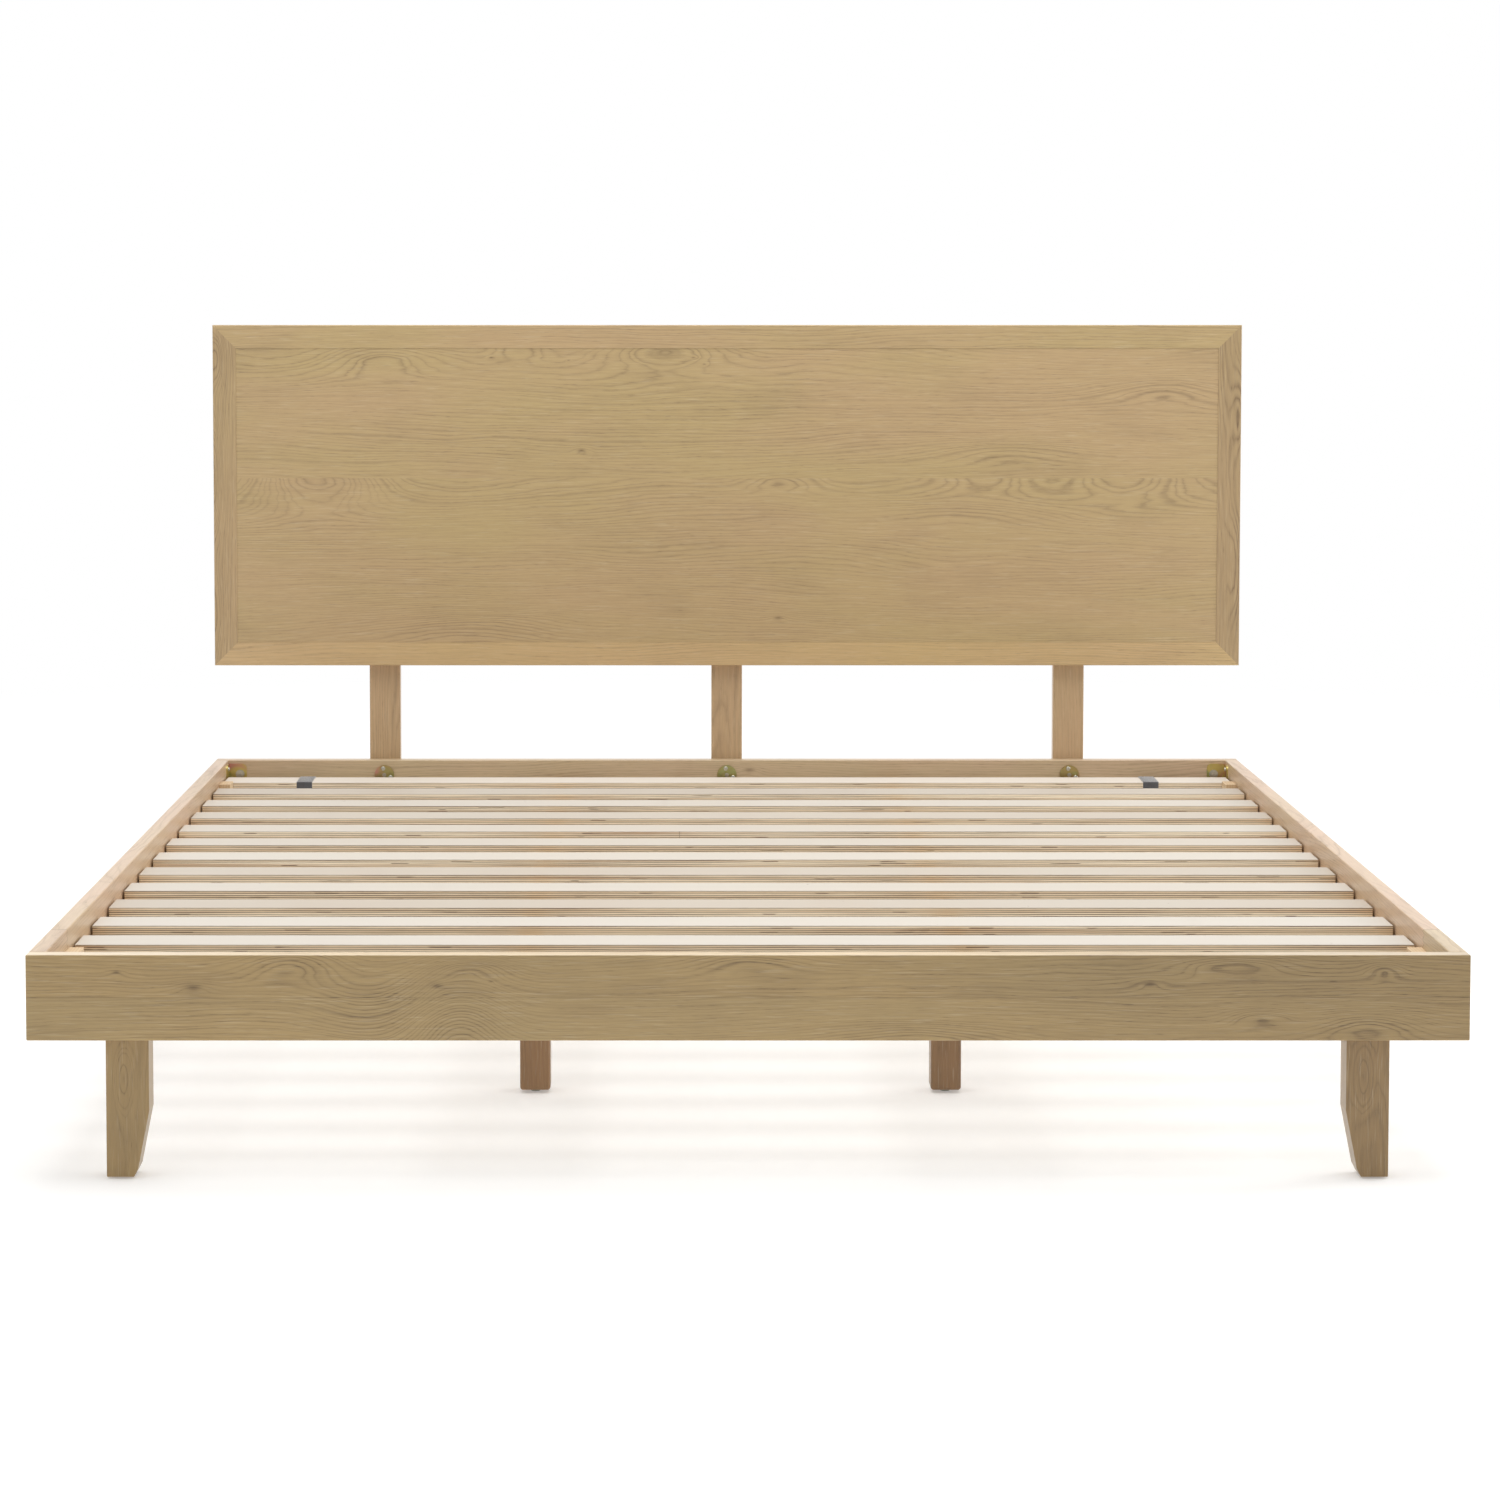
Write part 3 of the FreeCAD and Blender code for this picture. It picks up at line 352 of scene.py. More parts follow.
def oak(name, grain, heart, tones, figures=(), knots=(), splices=(), seams=(), ring=RING, contrast=1.0,
        seed=0.0, crown=None, dusk=None):
    """Oak with the trunk along one axis. The heart is an (across, deep) place; each figure is an
    (along, across) place with its half length, half width and height; a knot is a place with its radius.
    The dusk has a start and an end along the grain, and a share of dark at its end."""
    wood = Recipe(name)
    spots = wood.split(wood.place())
    along, across, deep = (spots[number] for number in AXES[grain])
    first_along = along
    face_place = wood.join(along, across, 0.0)
    joint_line = 0.0
    pieces = 0.0
    for number, splice in enumerate(splices):
        zigzag = wood.sum("PINGPONG", across, TOOTH)
        edge = wood.sum("SUBTRACT", along, wood.sum("MULTIPLY_ADD", zigzag, 1.6, splice))
        beyond = wood.sum("GREATER_THAN", edge, 0.0)
        pieces = wood.sum("ADD", pieces, beyond)
        splice_line = wood.fade(wood.sum("ABSOLUTE", edge), 1.6 * MM, 0.5 * MM)
        joint_line = wood.sum("MAXIMUM", joint_line, splice_line)
        along = wood.sum("MULTIPLY_ADD", beyond, 3.7 + number, along)
        across = wood.sum("MULTIPLY_ADD", beyond, 0.011 + 0.009 * number, across)
    upper_board = 0.0
    for seam in seams:
        edge = wood.sum("SUBTRACT", across, seam)
        upper_board = wood.sum("GREATER_THAN", edge, 0.0)
        seam_line = wood.fade(wood.sum("ABSOLUTE", edge), 0.9 * MM, 0.3 * MM, 0.0, 0.35)
        joint_line = wood.sum("MAXIMUM", joint_line, seam_line)
        along = wood.sum("MULTIPLY_ADD", upper_board, 5.3, along)

    def stretched(times):
        """Space drawn out along the grain, so that noise in it makes streaks."""
        drawn = wood.join(wood.sum("DIVIDE", along, times), across, deep)
        return wood.move("ADD", drawn, (seed, seed * 0.37, seed * 0.71))

    sideways = wood.sum("SUBTRACT", across, heart[0])
    inwards = wood.sum("SUBTRACT", deep, heart[1])
    distance = wood.move("LENGTH", wood.join(0.0, sideways, inwards), (0, 0, 0))
    sway = wood.sum("SUBTRACT", wood.noise(stretched(4), 4.5, detail=2), 0.5)
    ripple = wood.sum("SUBTRACT", wood.noise(stretched(6), 30, detail=3, roughness=0.6), 0.5)
    distance = wood.sum("MULTIPLY_ADD", sway, SWAY, distance)
    distance = wood.sum("MULTIPLY_ADD", ripple, RIPPLE, distance)
    bend = 0.0
    for place_along, place_across, half_length, half_width, height in figures:
        away = wood.move("SUBTRACT", face_place, (place_along, place_across, 0))
        scaled = wood.move("MULTIPLY", away, (1 / half_length, 1 / half_width, 0))
        hill = wood.sum("EXPONENT", wood.sum("MULTIPLY", wood.move("DOT_PRODUCT", scaled, scaled), -1.0))
        distance = wood.sum("MULTIPLY_ADD", hill, height, distance)
        bend = wood.sum("MAXIMUM", bend, hill)
    core = 0.0
    for place_along, place_across, radius in knots:
        away = wood.move("SUBTRACT", face_place, (place_along, place_across, 0))
        scaled = wood.move("MULTIPLY", away, (0.42 / radius, 1 / radius, 0))
        reach = wood.move("DOT_PRODUCT", scaled, scaled)
        core = wood.sum("MAXIMUM", core, wood.sum("EXPONENT", wood.sum("MULTIPLY", reach, -1.0)))
        swell = wood.sum("EXPONENT", wood.sum("MULTIPLY", reach, -0.11))
        distance = wood.sum("MULTIPLY_ADD", swell, 2.4 * radius, distance)

    count = wood.sum("DIVIDE", distance, ring)
    uneven = wood.noise(wood.join(count, seed, 0.0), 0.7, detail=1)
    count = wood.sum("MULTIPLY_ADD", uneven, 1.6, count)
    line = wood.ramp(wood.sum("FRACT", count), RING_SHAPE)
    boldness = wood.fade(wood.noise(stretched(5), 12, detail=2), 0.35, 0.65, 0.35, 1.0)
    boldness = wood.sum("MAXIMUM", boldness, wood.sum("MULTIPLY", bend, 1.7))
    line = wood.sum("MULTIPLY", line, boldness)
    fibre = wood.noise(stretched(40), 620, detail=4, roughness=0.7)
    streak = wood.noise(stretched(26), 230, detail=3, roughness=0.65)
    pores = wood.fade(wood.noise(stretched(18), 900, detail=1), 0.58, 0.72)
    pores = wood.sum("MULTIPLY", pores, wood.fade(line, 0.0, 0.5, 0.3, 1.0))
    fleck = wood.fade(wood.noise(stretched(24), 520, detail=2), 0.55, 0.72)
    cloud = wood.fade(wood.noise(stretched(2.2), 13, detail=3), 0.5, 0.75)

    patch = wood.fade(wood.noise(stretched(3), 5.5, detail=3), 0.3, 0.7)
    patch = wood.sum("PINGPONG", wood.sum("MULTIPLY_ADD", pieces, 0.7, patch), 1.0)
    colour = wood.blend(patch, tones[0], tones[1])
    shade = wood.sum("MULTIPLY", line, 0.30 * contrast)
    for mark, share in ((wood.fade(fibre, 0.35, 0.7), 0.12 * contrast),
                        (wood.fade(streak, 0.40, 0.72), 0.10 * contrast), (cloud, 0.10 * contrast),
                        (upper_board, 0.06), (pores, 0.30), (joint_line, 0.6), (core, 0.55)):
        shade = wood.sum("MULTIPLY_ADD", mark, share, shade)
    # Painted shade: a darkening towards one end along the grain; the foot rail uses it for its right end.
    if dusk:
        start, end, share = dusk
        shade = wood.sum("ADD", shade, wood.fade(first_along, start, end, 0.0, share))
    # Painted highlight: faces that look up are painted towards a paler colour.
    if crown:
        _, _, upward = wood.split(wood.node("NewGeometry").outputs["Normal"])
        colour = wood.blend(wood.fade(upward, 0.5, 0.9), colour, crown)
    colour = wood.blend(wood.sum("MULTIPLY", fleck, 0.16), colour, LIME)
    colour = wood.blend(shade, colour, tuple(0.5 * tone for tone in tones[2]))
    grain_height = wood.sum("MULTIPLY_ADD", pores, -1.0, wood.sum("MULTIPLY", line, -0.35))
    grain_height = wood.sum("MULTIPLY_ADD", fibre, 0.5, grain_height)
    wood.bump(grain_height, GRAIN_DEPTH, 0.5)
    return wood.finish(colour, wood.fade(shade, 0.0, 1.0, 0.40, 0.62), lacquer=0.45)


def spot(node, grain, share_along, share_across):
    """A place on a board's face, as shares of its length and width."""
    low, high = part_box(node)
    along, across, _ = AXES[grain]
    return (low[along] + share_along * (high[along] - low[along]),
            low[across] + share_across * (high[across] - low[across]))


def behind(node, grain, share_across, depth):
    """Heart of the trunk: a share of the board's width, and a depth behind its middle."""
    low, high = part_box(node)
    _, across, deep = AXES[grain]
    return (low[across] + share_across * (high[across] - low[across]), (low[deep] + high[deep]) / 2 + depth)


def board(node, grain, heart, tones, figures=(), knots=(), splices=(), seams=(), **look):
    """Give a part its own oak. Places are shares of its face here, and knots are in millimetres."""
    finish = oak("oak_" + node.removeprefix("headboard_"), grain, behind(node, grain, *heart), tones,
                 figures=[(*spot(node, grain, *figure[:2]), *figure[2:]) for figure in figures],
                 knots=[(*spot(node, grain, *knot[:2]), knot[2] * MM) for knot in knots],
                 splices=[spot(node, grain, share, 0)[0] for share in splices],
                 seams=[spot(node, grain, 0, share)[1] for share in seams], **look)
    dress(node, finish)


print("oak is ready")

# %% [markdown]
# ## Tones of oak
# No two boards of a bed have quite the same colour. Each set has two tones that mix in slow patches, and
# a third, darker one for the lines of the rings.

# %% Tones
HONEY = ((0.495, 0.363, 0.163), (0.509, 0.353, 0.178), (0.35, 0.222, 0.10))
PINK = ((0.480, 0.330, 0.168), (0.460, 0.328, 0.158), (0.33, 0.200, 0.09))
AMBER = ((0.580, 0.410, 0.186), (0.590, 0.405, 0.200), (0.40, 0.250, 0.11))
BROWN = ((0.455, 0.308, 0.121), (0.412, 0.288, 0.118), (0.28, 0.17, 0.07))
TAN = ((0.560, 0.380, 0.215), (0.530, 0.368, 0.200), (0.36, 0.225, 0.11))
ROSE = ((0.610, 0.425, 0.285), (0.565, 0.430, 0.255), (0.40, 0.25, 0.13))
UMBER = ((0.396, 0.260, 0.096), (0.368, 0.240, 0.090), (0.26, 0.16, 0.06))
# Painted shade: this is the umber painted darker for the right-hand legs.
SHADED_UMBER = ((0.306, 0.189, 0.071), (0.285, 0.176, 0.068), (0.20, 0.115, 0.043))
RUSSET = ((0.323, 0.176, 0.067), (0.298, 0.158, 0.060), (0.21, 0.11, 0.045))
# Painted shade: this is the russet painted darker for the right-hand legs.
SHADED_RUSSET = ((0.275, 0.150, 0.057), (0.253, 0.134, 0.051), (0.18, 0.094, 0.038))
# Painted highlight: the paler colour given to the foot rail's faces that look up.
PAINTED_TOP_HIGHLIGHT = (0.86, 0.70, 0.48)
print("ten woods")

# %% [markdown]
# ## The headboard
# Two wide planks lie edge to edge inside a border of mitred strips. The lower plank was sawn near the
# heart, so ovals show just under the seam at its left end and swirls at its right. The planks get one
# trunk each, and the strips their own, with the grain along each strip, which is what makes the mitres
# read as joints.

# %% Planks and border
board("headboard_plank_lower", "x", (1.25, 0.16), HONEY, seed=3.1,
      figures=[(0.082, 1.16, 0.130, 0.095, 0.110), (0.555, 0.99, 0.07, 0.022, 0.022),
               (0.76, 1.02, 0.10, 0.034, 0.034), (0.90, 1.04, 0.11, 0.050, 0.040),
               (0.74, 0.80, 0.14, 0.024, 0.016), (0.24, 0.10, 0.20, 0.050, 0.026)],
      knots=[(0.552, 0.17, 3.0)])
board("headboard_plank_upper", "x", (1.4, 0.19), HONEY, seed=7.7,
      figures=[(0.145, 0.90, 0.11, 0.036, 0.030), (0.44, 0.96, 0.13, 0.042, 0.042),
               (0.29, 0.97, 0.06, 0.026, 0.018), (0.79, 0.20, 0.17, 0.030, 0.022),
               (0.94, 0.66, 0.12, 0.036, 0.022)],
      knots=[(0.262, 0.90, 1.4), (0.34, 0.88, 1.2), (0.466, 0.90, 1.5), (0.477, 0.85, 1.2),
             (0.353, 0.21, 2.8)])
board("headboard_strip_top", "x", (-2.0, 0.08), HONEY, seed=11)
board("headboard_strip_bottom", "x", (3.0, 0.07), AMBER, seed=12)
board("headboard_strip_left", "z", (1.6, 0.035), PINK, ring=FINE_RING, contrast=1.3, seed=13,
      figures=[(0.90, 0.2, 0.06, 0.020, 0.030), (0.56, -0.1, 0.11, 0.030, 0.045),
               (0.15, 0.0, 0.09, 0.022, 0.020)])
board("headboard_strip_right", "z", (2.2, 0.06), PINK, ring=FINE_RING, contrast=1.4, seed=14,
      figures=[(0.75, 1.0, 0.10, 0.022, 0.026), (0.30, 0.9, 0.12, 0.020, 0.020)], dusk=(0.4, 0.41, 0.12))
print("headboard dressed")

# %% [markdown]
# ## Posts, rails and legs
# The rails are the widest boards after the headboard. The foot rail is the one everybody sees: two boards
# glued in a flat seam, with small knots in the upper one and slanting grain in the lower. Both boards are
# one part here, so one finish holds both: above the seam it looks up another place in another trunk. Its
# top faces are painted paler, a painted highlight, and its right half is painted darker towards the end,
# which is painted shade. The right-hand legs are painted a shade darker than the left ones, painted shade
# too. The side rails are spliced from three lengths.

# %% Rails
# Painted highlight on the foot rail's top faces, and painted shade towards its right end.
board("foot_rail", "x", (1.7, 0.05), BROWN, contrast=1.15, seed=21,
      figures=[(0.185, 0.92, 0.075, 0.026, 0.026), (0.310, 0.86, 0.055, 0.017, 0.022),
               (0.500, 0.92, 0.10, 0.020, 0.020), (0.835, 0.88, 0.075, 0.015, 0.024),
               (0.940, 0.82, 0.025, 0.012, 0.016), (0.855, 0.28, 0.050, 0.016, 0.022),
               (0.930, 0.20, 0.080, 0.024, 0.028), (0.300, 0.22, 0.070, 0.075, 0.050),
               (0.240, 0.30, 0.090, 0.070, -0.022), (0.62, 0.05, 0.15, 0.030, 0.026)],
      knots=[(0.116, 0.62, 4.2), (0.063, 0.80, 2.2), (0.285, 0.64, 3.0), (0.322, 0.69, 1.2),
             (0.778, 0.66, 3.4)],
      seams=[0.5], crown=PAINTED_TOP_HIGHLIGHT, dusk=(0.0, 0.9, 0.19))
board("head_rail", "x", (2.4, 0.05), ROSE, knots=[(0.522, 0.835, 4)], seed=22)
board("side_rail_left", "y", (-1.2, 0.06), ROSE, splices=[0.082, 0.808], seed=23)
board("side_rail_right", "y", (-1.2, 0.06), ROSE, splices=[0.082, 0.808], seed=24)
print("rails dressed")

# %% Posts and legs
CORNERS = ("foot_left", "foot_right", "head_left", "head_right")
for number, place in enumerate(("left", "centre", "right")):
    board("post_" + place, "z", (1.4 - number, 0.05), TAN, seed=31 + number)
# Painted shade: the right-hand legs take the darker copies of their woods.
for number, place in enumerate(CORNERS):
    on_right = place.endswith("right")
    board("corner_leg_" + place, "z", (0.3 + 0.2 * number, 0.03), SHADED_UMBER if on_right else UMBER,
          figures=[(0.55, 0.4, 0.05, 0.014, 0.022)], ring=FINE_RING, seed=41 + number)
    board("centre_leg_" + place, "z", (1.6 - number, 0.05), SHADED_RUSSET if on_right else RUSSET,
          seed=51 + number)
print("posts and legs dressed")

# %% [markdown]
# ## Slats
# The slats are sawn from a thick board of glued veneers. From above you see one pale sheet of veneer. On
# the long edges every layer shows as a stripe, with dark glue between, and here and there a short gap
# where a veneer had a hole, dented and painted dark as painted shade in the hole. All of this follows from
# height alone: the layer number is the height divided by the veneer's thickness, so the top face lies in
# one layer and the edge cuts them all. Every slat draws its own tone, and the one at the head is painted
# paler still, painted light that lifts the shade the headboard casts on it.

# %% Laminated veneer
SLAT_COUNT = 13
VENEER = 3.2 * MM
TOP_LAYER = 5.0
PLY_PALE = (0.980, 0.860, 0.660)
PLY_TAN = (0.740, 0.580, 0.390)
PLY_BROWN = (0.62, 0.42, 0.27)
FACE_WHITE = (0.522, 0.475, 0.407)
FACE_WARM = (0.495, 0.428, 0.354)
FACE_PALER = (0.620, 0.580, 0.518)
# Painted light: the paler tone of the slat at the head, lifting the shade the headboard casts on it.
HEAD_SLAT_PAINTED_LIGHT = (0.690, 0.625, 0.545)
GLUE = (0.15, 0.090, 0.050)
slat_low, slat_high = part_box("slat_01")
next_low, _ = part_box("slat_02")
slat_pitch = slat_low.y - next_low.y


def laminate(name):
    """Stack of glued veneers, different in every slat and layer."""
    stack = Recipe(name)
    along, across, up = stack.split(stack.place())
    from_head = stack.sum("SUBTRACT", across, slat_low.y)
    slat = stack.sum("FLOOR", stack.sum("DIVIDE", from_head, slat_pitch))
    wavy = stack.noise(stack.join(stack.sum("MULTIPLY", along, 5.0), slat, 0.0), 1.0, detail=4)
    height = stack.sum("MULTIPLY_ADD", wavy, 3.0 * MM, stack.sum("SUBTRACT", up, slat_low.z + 1.0 * MM))
    layers = stack.sum("DIVIDE", height, VENEER)
    layer = stack.sum("MINIMUM", stack.sum("FLOOR", layers), TOP_LAYER)
    within = stack.sum("SUBTRACT", layers, layer)
    is_face = stack.fade(up, slat_high.z - 1.5 * MM, slat_high.z - 0.7 * MM)
    is_back = stack.fade(up, slat_low.z + 1.5 * MM, slat_low.z + 0.7 * MM)
    face = stack.sum("MAXIMUM", is_face, is_back)
    edge = stack.sum("SUBTRACT", 1.0, face)

    offset = stack.join(0.0, stack.sum("MULTIPLY", layer, 0.37), stack.sum("MULTIPLY", slat, 0.71))
    drawn = stack.move("ADD", stack.join(stack.sum("DIVIDE", along, 40), across, up), offset)
    fibre = stack.noise(drawn, 420, detail=3, roughness=0.6)
    apart = stack.join(stack.sum("DIVIDE", along, 5), stack.sum("MULTIPLY", slat, 3.3), layer)
    patch = stack.noise(apart, 7, detail=4, roughness=0.6)
    edge_tone = stack.blend(stack.chance(stack.join(layer, slat, 3.0)), PLY_PALE, PLY_TAN)
    edge_tone = stack.blend(stack.fade(patch, 0.50, 0.80), edge_tone, PLY_BROWN)
    face_tone = stack.blend(stack.fade(patch, 0.3, 0.7), FACE_WHITE, FACE_WARM)
    face_tone = stack.blend(stack.chance(stack.join(slat, 5.0, 1.0)), face_tone, FACE_PALER)
    # Painted light: the slat at the head is painted paler.
    face_tone = stack.blend(stack.fade(slat, -0.9, -0.1), face_tone, HEAD_SLAT_PAINTED_LIGHT)
    colour = stack.blend(face, edge_tone, face_tone)

    glue = stack.fade(stack.sum("PINGPONG", within, 0.5), 0.30, 0.08)
    elsewhere = stack.move("ADD", apart, (7.0, 1.0, 2.0))
    bold = stack.fade(stack.noise(elsewhere, 9, detail=3), 0.36, 0.60, 0.25, 0.95)
    # Painted shade: short gaps where a veneer had a hole, dented and painted dark.
    gap_place = stack.join(stack.sum("DIVIDE", along, 6), stack.sum("MULTIPLY", slat, 2.7), layer)
    gap = stack.fade(stack.noise(gap_place, 60), 0.60, 0.64)
    gap = stack.sum("MULTIPLY", gap, stack.fade(within, 0.5, 0.3))
    pin_place = stack.join(stack.sum("DIVIDE", along, 1.6), across, slat)
    pins = stack.fade(stack.noise(pin_place, 95), 0.765, 0.79)
    marks = stack.sum("MAXIMUM", stack.sum("MULTIPLY", gap, edge), pins)
    shade = stack.sum("MULTIPLY_ADD", stack.fade(fibre, 0.4, 0.7), 0.16, stack.sum("MULTIPLY", glue, bold))
    shade = stack.sum("MULTIPLY", shade, stack.fade(face, 0.0, 1.0, 1.0, 0.22))
    shade = stack.sum("MAXIMUM", shade, stack.sum("MULTIPLY", marks, 0.85))
    colour = stack.blend(shade, colour, GLUE)
    relief = stack.sum("MULTIPLY_ADD", fibre, 0.5, stack.sum("MULTIPLY", glue, -0.4))
    stack.bump(stack.sum("MULTIPLY_ADD", marks, -2.0, relief), 0.2 * MM, 0.6)
    return stack.finish(colour, 0.62, gloss=0.35)


slat_finish = laminate("laminated_slat")
for number in range(SLAT_COUNT):
    dress("slat_%02d" % (number + 1), slat_finish)
print("slats dressed, pitch %.1f mm" % (slat_pitch / MM))

# %% [markdown]
# ## Raw timber
# Nobody sees the ledgers and the beams once a mattress is on, so they are left as the planer made them:
# pale softwood with wide, plain rings. The idea of the trunk is the same, without figures and pores.

# %% Ledgers, beams and blocks
PINE_RING = 5 * MM
PINE_RING_SHAPE = [(0.0, 0.05), (0.5, 0.12), (0.9, 0.8), (0.97, 0.5), (1.0, 0.05)]


def softwood(name, grain, heart, seed):
    """Pale planed softwood: broad rings that darken slowly and end sharply."""
    pine = Recipe(name)
    spots = pine.split(pine.place())
    along, across, deep = (spots[number] for number in AXES[grain])
    sideways = pine.sum("SUBTRACT", across, heart[0])
    inwards = pine.sum("SUBTRACT", deep, heart[1])
    distance = pine.move("LENGTH", pine.join(0.0, sideways, inwards), (0, 0, 0))
    drawn = pine.move("ADD", pine.join(pine.sum("DIVIDE", along, 9), across, deep), (seed, seed, 0))
    distance = pine.sum("MULTIPLY_ADD", pine.noise(drawn, 14, detail=2), 0.02, distance)
    line = pine.ramp(pine.sum("FRACT", pine.sum("DIVIDE", distance, PINE_RING)), PINE_RING_SHAPE)
    fibre = pine.noise(pine.join(pine.sum("DIVIDE", along, 50), across, deep), 600, detail=3)
    colour = pine.blend(pine.noise(drawn, 5), (0.67, 0.52, 0.34), (0.62, 0.46, 0.28))
    colour = pine.blend(pine.sum("MULTIPLY", line, 0.55), colour, (0.45, 0.27, 0.13))
    pine.bump(pine.sum("ADD", line, fibre), GRAIN_DEPTH, 0.5)
    return pine.finish(colour, pine.fade(fibre, 0.3, 0.7, 0.55, 0.7), gloss=0.35)


raw_parts = ("ledger_left", "ledger_right", "stop_blocks", "centre_beam_left", "centre_beam_right")
for number, node in enumerate(raw_parts):
    heart = behind(node, "y", 0.2, 0.04 + 0.01 * number)
    dress(node, softwood("softwood_" + node, "y", heart, 60 + number))
print("raw timber dressed")

# %% [markdown]
# ## Fittings
# The plates and brackets are steel with a yellow zinc coat, which is famous for its rainbow: gold, with
# clouds of pink and green where the coat is a little thicker. Three colours mixed by slow noise give that.
# The screws and bolts have a plainer bright coat with fine scratches.

# %% Metal

SCRATCH_DEPTH = 0.03 * MM
EDGE_ROUND = 0.3 * MM


def yellow_zinc(name, gold_tone, blush):
    """Zinc in a yellow chromate bath; blush is how much of it turned pink."""
    metal = Recipe(name)
    place = metal.place()
    cloud = metal.noise(place, 26, detail=2, distortion=0.8)
    other = metal.noise(metal.move("ADD", place, (2.0, 5.0, 1.0)), 22, detail=2, distortion=0.8)
    gold = metal.blend(metal.fade(cloud, 0.62 - blush, 0.78 - blush), gold_tone, (0.60, 0.30, 0.25))
    colour = metal.blend(metal.fade(other, 0.54, 0.72), gold, (0.40, 0.42, 0.18))
    scratch = metal.noise(place, 900, detail=3)
    metal.bump(scratch, SCRATCH_DEPTH, 0.4)
    return metal.finish(colour, metal.fade(scratch, 0.3, 0.7, 0.28, 0.45), metallic=1.0)


def bright_zinc(name, colour):
    """Plain zinc with fine scratches."""
    metal = Recipe(name)
    place = metal.place()
    cloud = metal.noise(place, 150, detail=3)
    tone = metal.blend(cloud, colour, tuple(0.8 * level for level in colour))
    scratch = metal.noise(place, 1400, detail=3)
    metal.bump(scratch, SCRATCH_DEPTH, 0.4)
    return metal.finish(tone, metal.fade(scratch, 0.3, 0.7, 0.26, 0.42), metallic=1.0)


def soften(node, radius):
    """Take the sharp edges off a pressed or turned part."""
    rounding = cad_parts[node].modifiers.new("soft edges", "BEVEL")
    rounding.width = radius
    rounding.segments = 2
    rounding.limit_method = "ANGLE"


gold_metal = yellow_zinc("yellow_zinc", (0.60, 0.50, 0.18), 0.18)
plate_metal = yellow_zinc("yellow_zinc_plates", (0.42, 0.33, 0.14), 0.04)
screw_metal = bright_zinc("bright_zinc", (0.62, 0.60, 0.52))
hanger_metal = bright_zinc("galvanised", (0.55, 0.56, 0.56))
dress("corner_brackets", gold_metal)
dress("post_nut_plates", plate_metal)
for node in ("corner_bolts", "post_bolts", "leg_bolts", "centre_leg_bolts", "foot_inserts",
             "strap_staples"):
    dress(node, screw_metal)
dress("beam_hangers", hanger_metal)
for node in ("corner_bolts", "leg_bolts", "post_bolts", "beam_hangers"):
    soften(node, EDGE_ROUND)
print("metal dressed")

# %% [markdown]
# ## Screws
# A plain cone reads as a rivet, and what says screw is the cross in its head. One screw is turned on the
# spot from its outline, a cross is cut into it with a boolean, and copies of it are set where the CAD has
# its plain ones. Their places are measured from the CAD: each loose solid's longest side is its axis, and
# its wider end is its head.

# %% Finding the solids of a part


def solids_of(node):
    """Corners of each separate solid of a CAD part."""
    mesh = bmesh.new()
    mesh.from_mesh(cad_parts[node].data)
    bmesh.ops.remove_doubles(mesh, verts=mesh.verts, dist=1e-6)
    mesh.verts.index_update()
    seen = set()
    solids = []
    for start in mesh.verts:
        if start.index in seen:
            continue
        seen.add(start.index)
        waiting = [start]
        corners = []
        while waiting:
            corner = waiting.pop()
            corners.append(corner.co.copy())
            for edge in corner.link_edges:
                other = edge.other_vert(corner)
                if other.index not in seen:
                    seen.add(other.index)
                    waiting.append(other)
        solids.append(corners)
    mesh.free()
    return solids


def screw_place(corners):
    """Matrix that carries a screw, head at the origin and pointing down, to where a CAD screw is."""
    low = Vector([min(corner[axis] for corner in corners) for axis in range(3)])
    high = Vector([max(corner[axis] for corner in corners) for axis in range(3)])
    size = high - low
    axis = max(range(3), key=lambda number: size[number])
    middle = (low + high) / 2
    outward = Vector([float(number == axis) for number in range(3)])

    def spread(end):
        """Radius of the screw at one end."""
        near = [corner - middle for corner in corners if abs(corner[axis] - end) < 0.5 * MM]
        return max((arm - arm[axis] * outward).length for arm in near)

    if spread(low[axis]) > spread(high[axis]):
        outward = -outward
    head = middle + outward * size[axis] / 2
    return Matrix.Translation(head) @ outward.to_track_quat("Z", "Y").to_matrix().to_4x4()


for node in ("pan_screws", "wood_screws"):
    print("found", len(solids_of(node)), node)

# %% Turning and stamping
TURN_STEPS = 32


def tube_faces(rows, steps):
    """Faces over rows of corners, each a ring of so many steps, closed at both ends."""
    faces = []
    for row in range(rows - 1):
        for step in range(steps):
            following = (step + 1) % steps
            faces.append((row * steps + step, row * steps + following,
                          (row + 1) * steps + following, (row + 1) * steps + step))
    faces.append(tuple(reversed(range(steps))))
    faces.append(tuple((rows - 1) * steps + step for step in range(steps)))
    return faces


def turned(outline):
    """Corners of an outline of (radius, height) pairs turned round Z."""
    corners = []
    for radius, height in outline:
        for step in range(TURN_STEPS):
            turn = 2 * math.pi * step / TURN_STEPS
            corners.append((radius * math.cos(turn), radius * math.sin(turn), height))
    return corners


def mesh_of(name, corners, faces):
    """Mesh with all its faces looking outwards."""
    mesh = bpy.data.meshes.new(name)
    mesh.from_pydata(corners, [], faces)
    work = bmesh.new()
    work.from_mesh(mesh)
    bmesh.ops.recalc_face_normals(work, faces=work.faces)
    work.to_mesh(mesh)
    work.free()
    return mesh


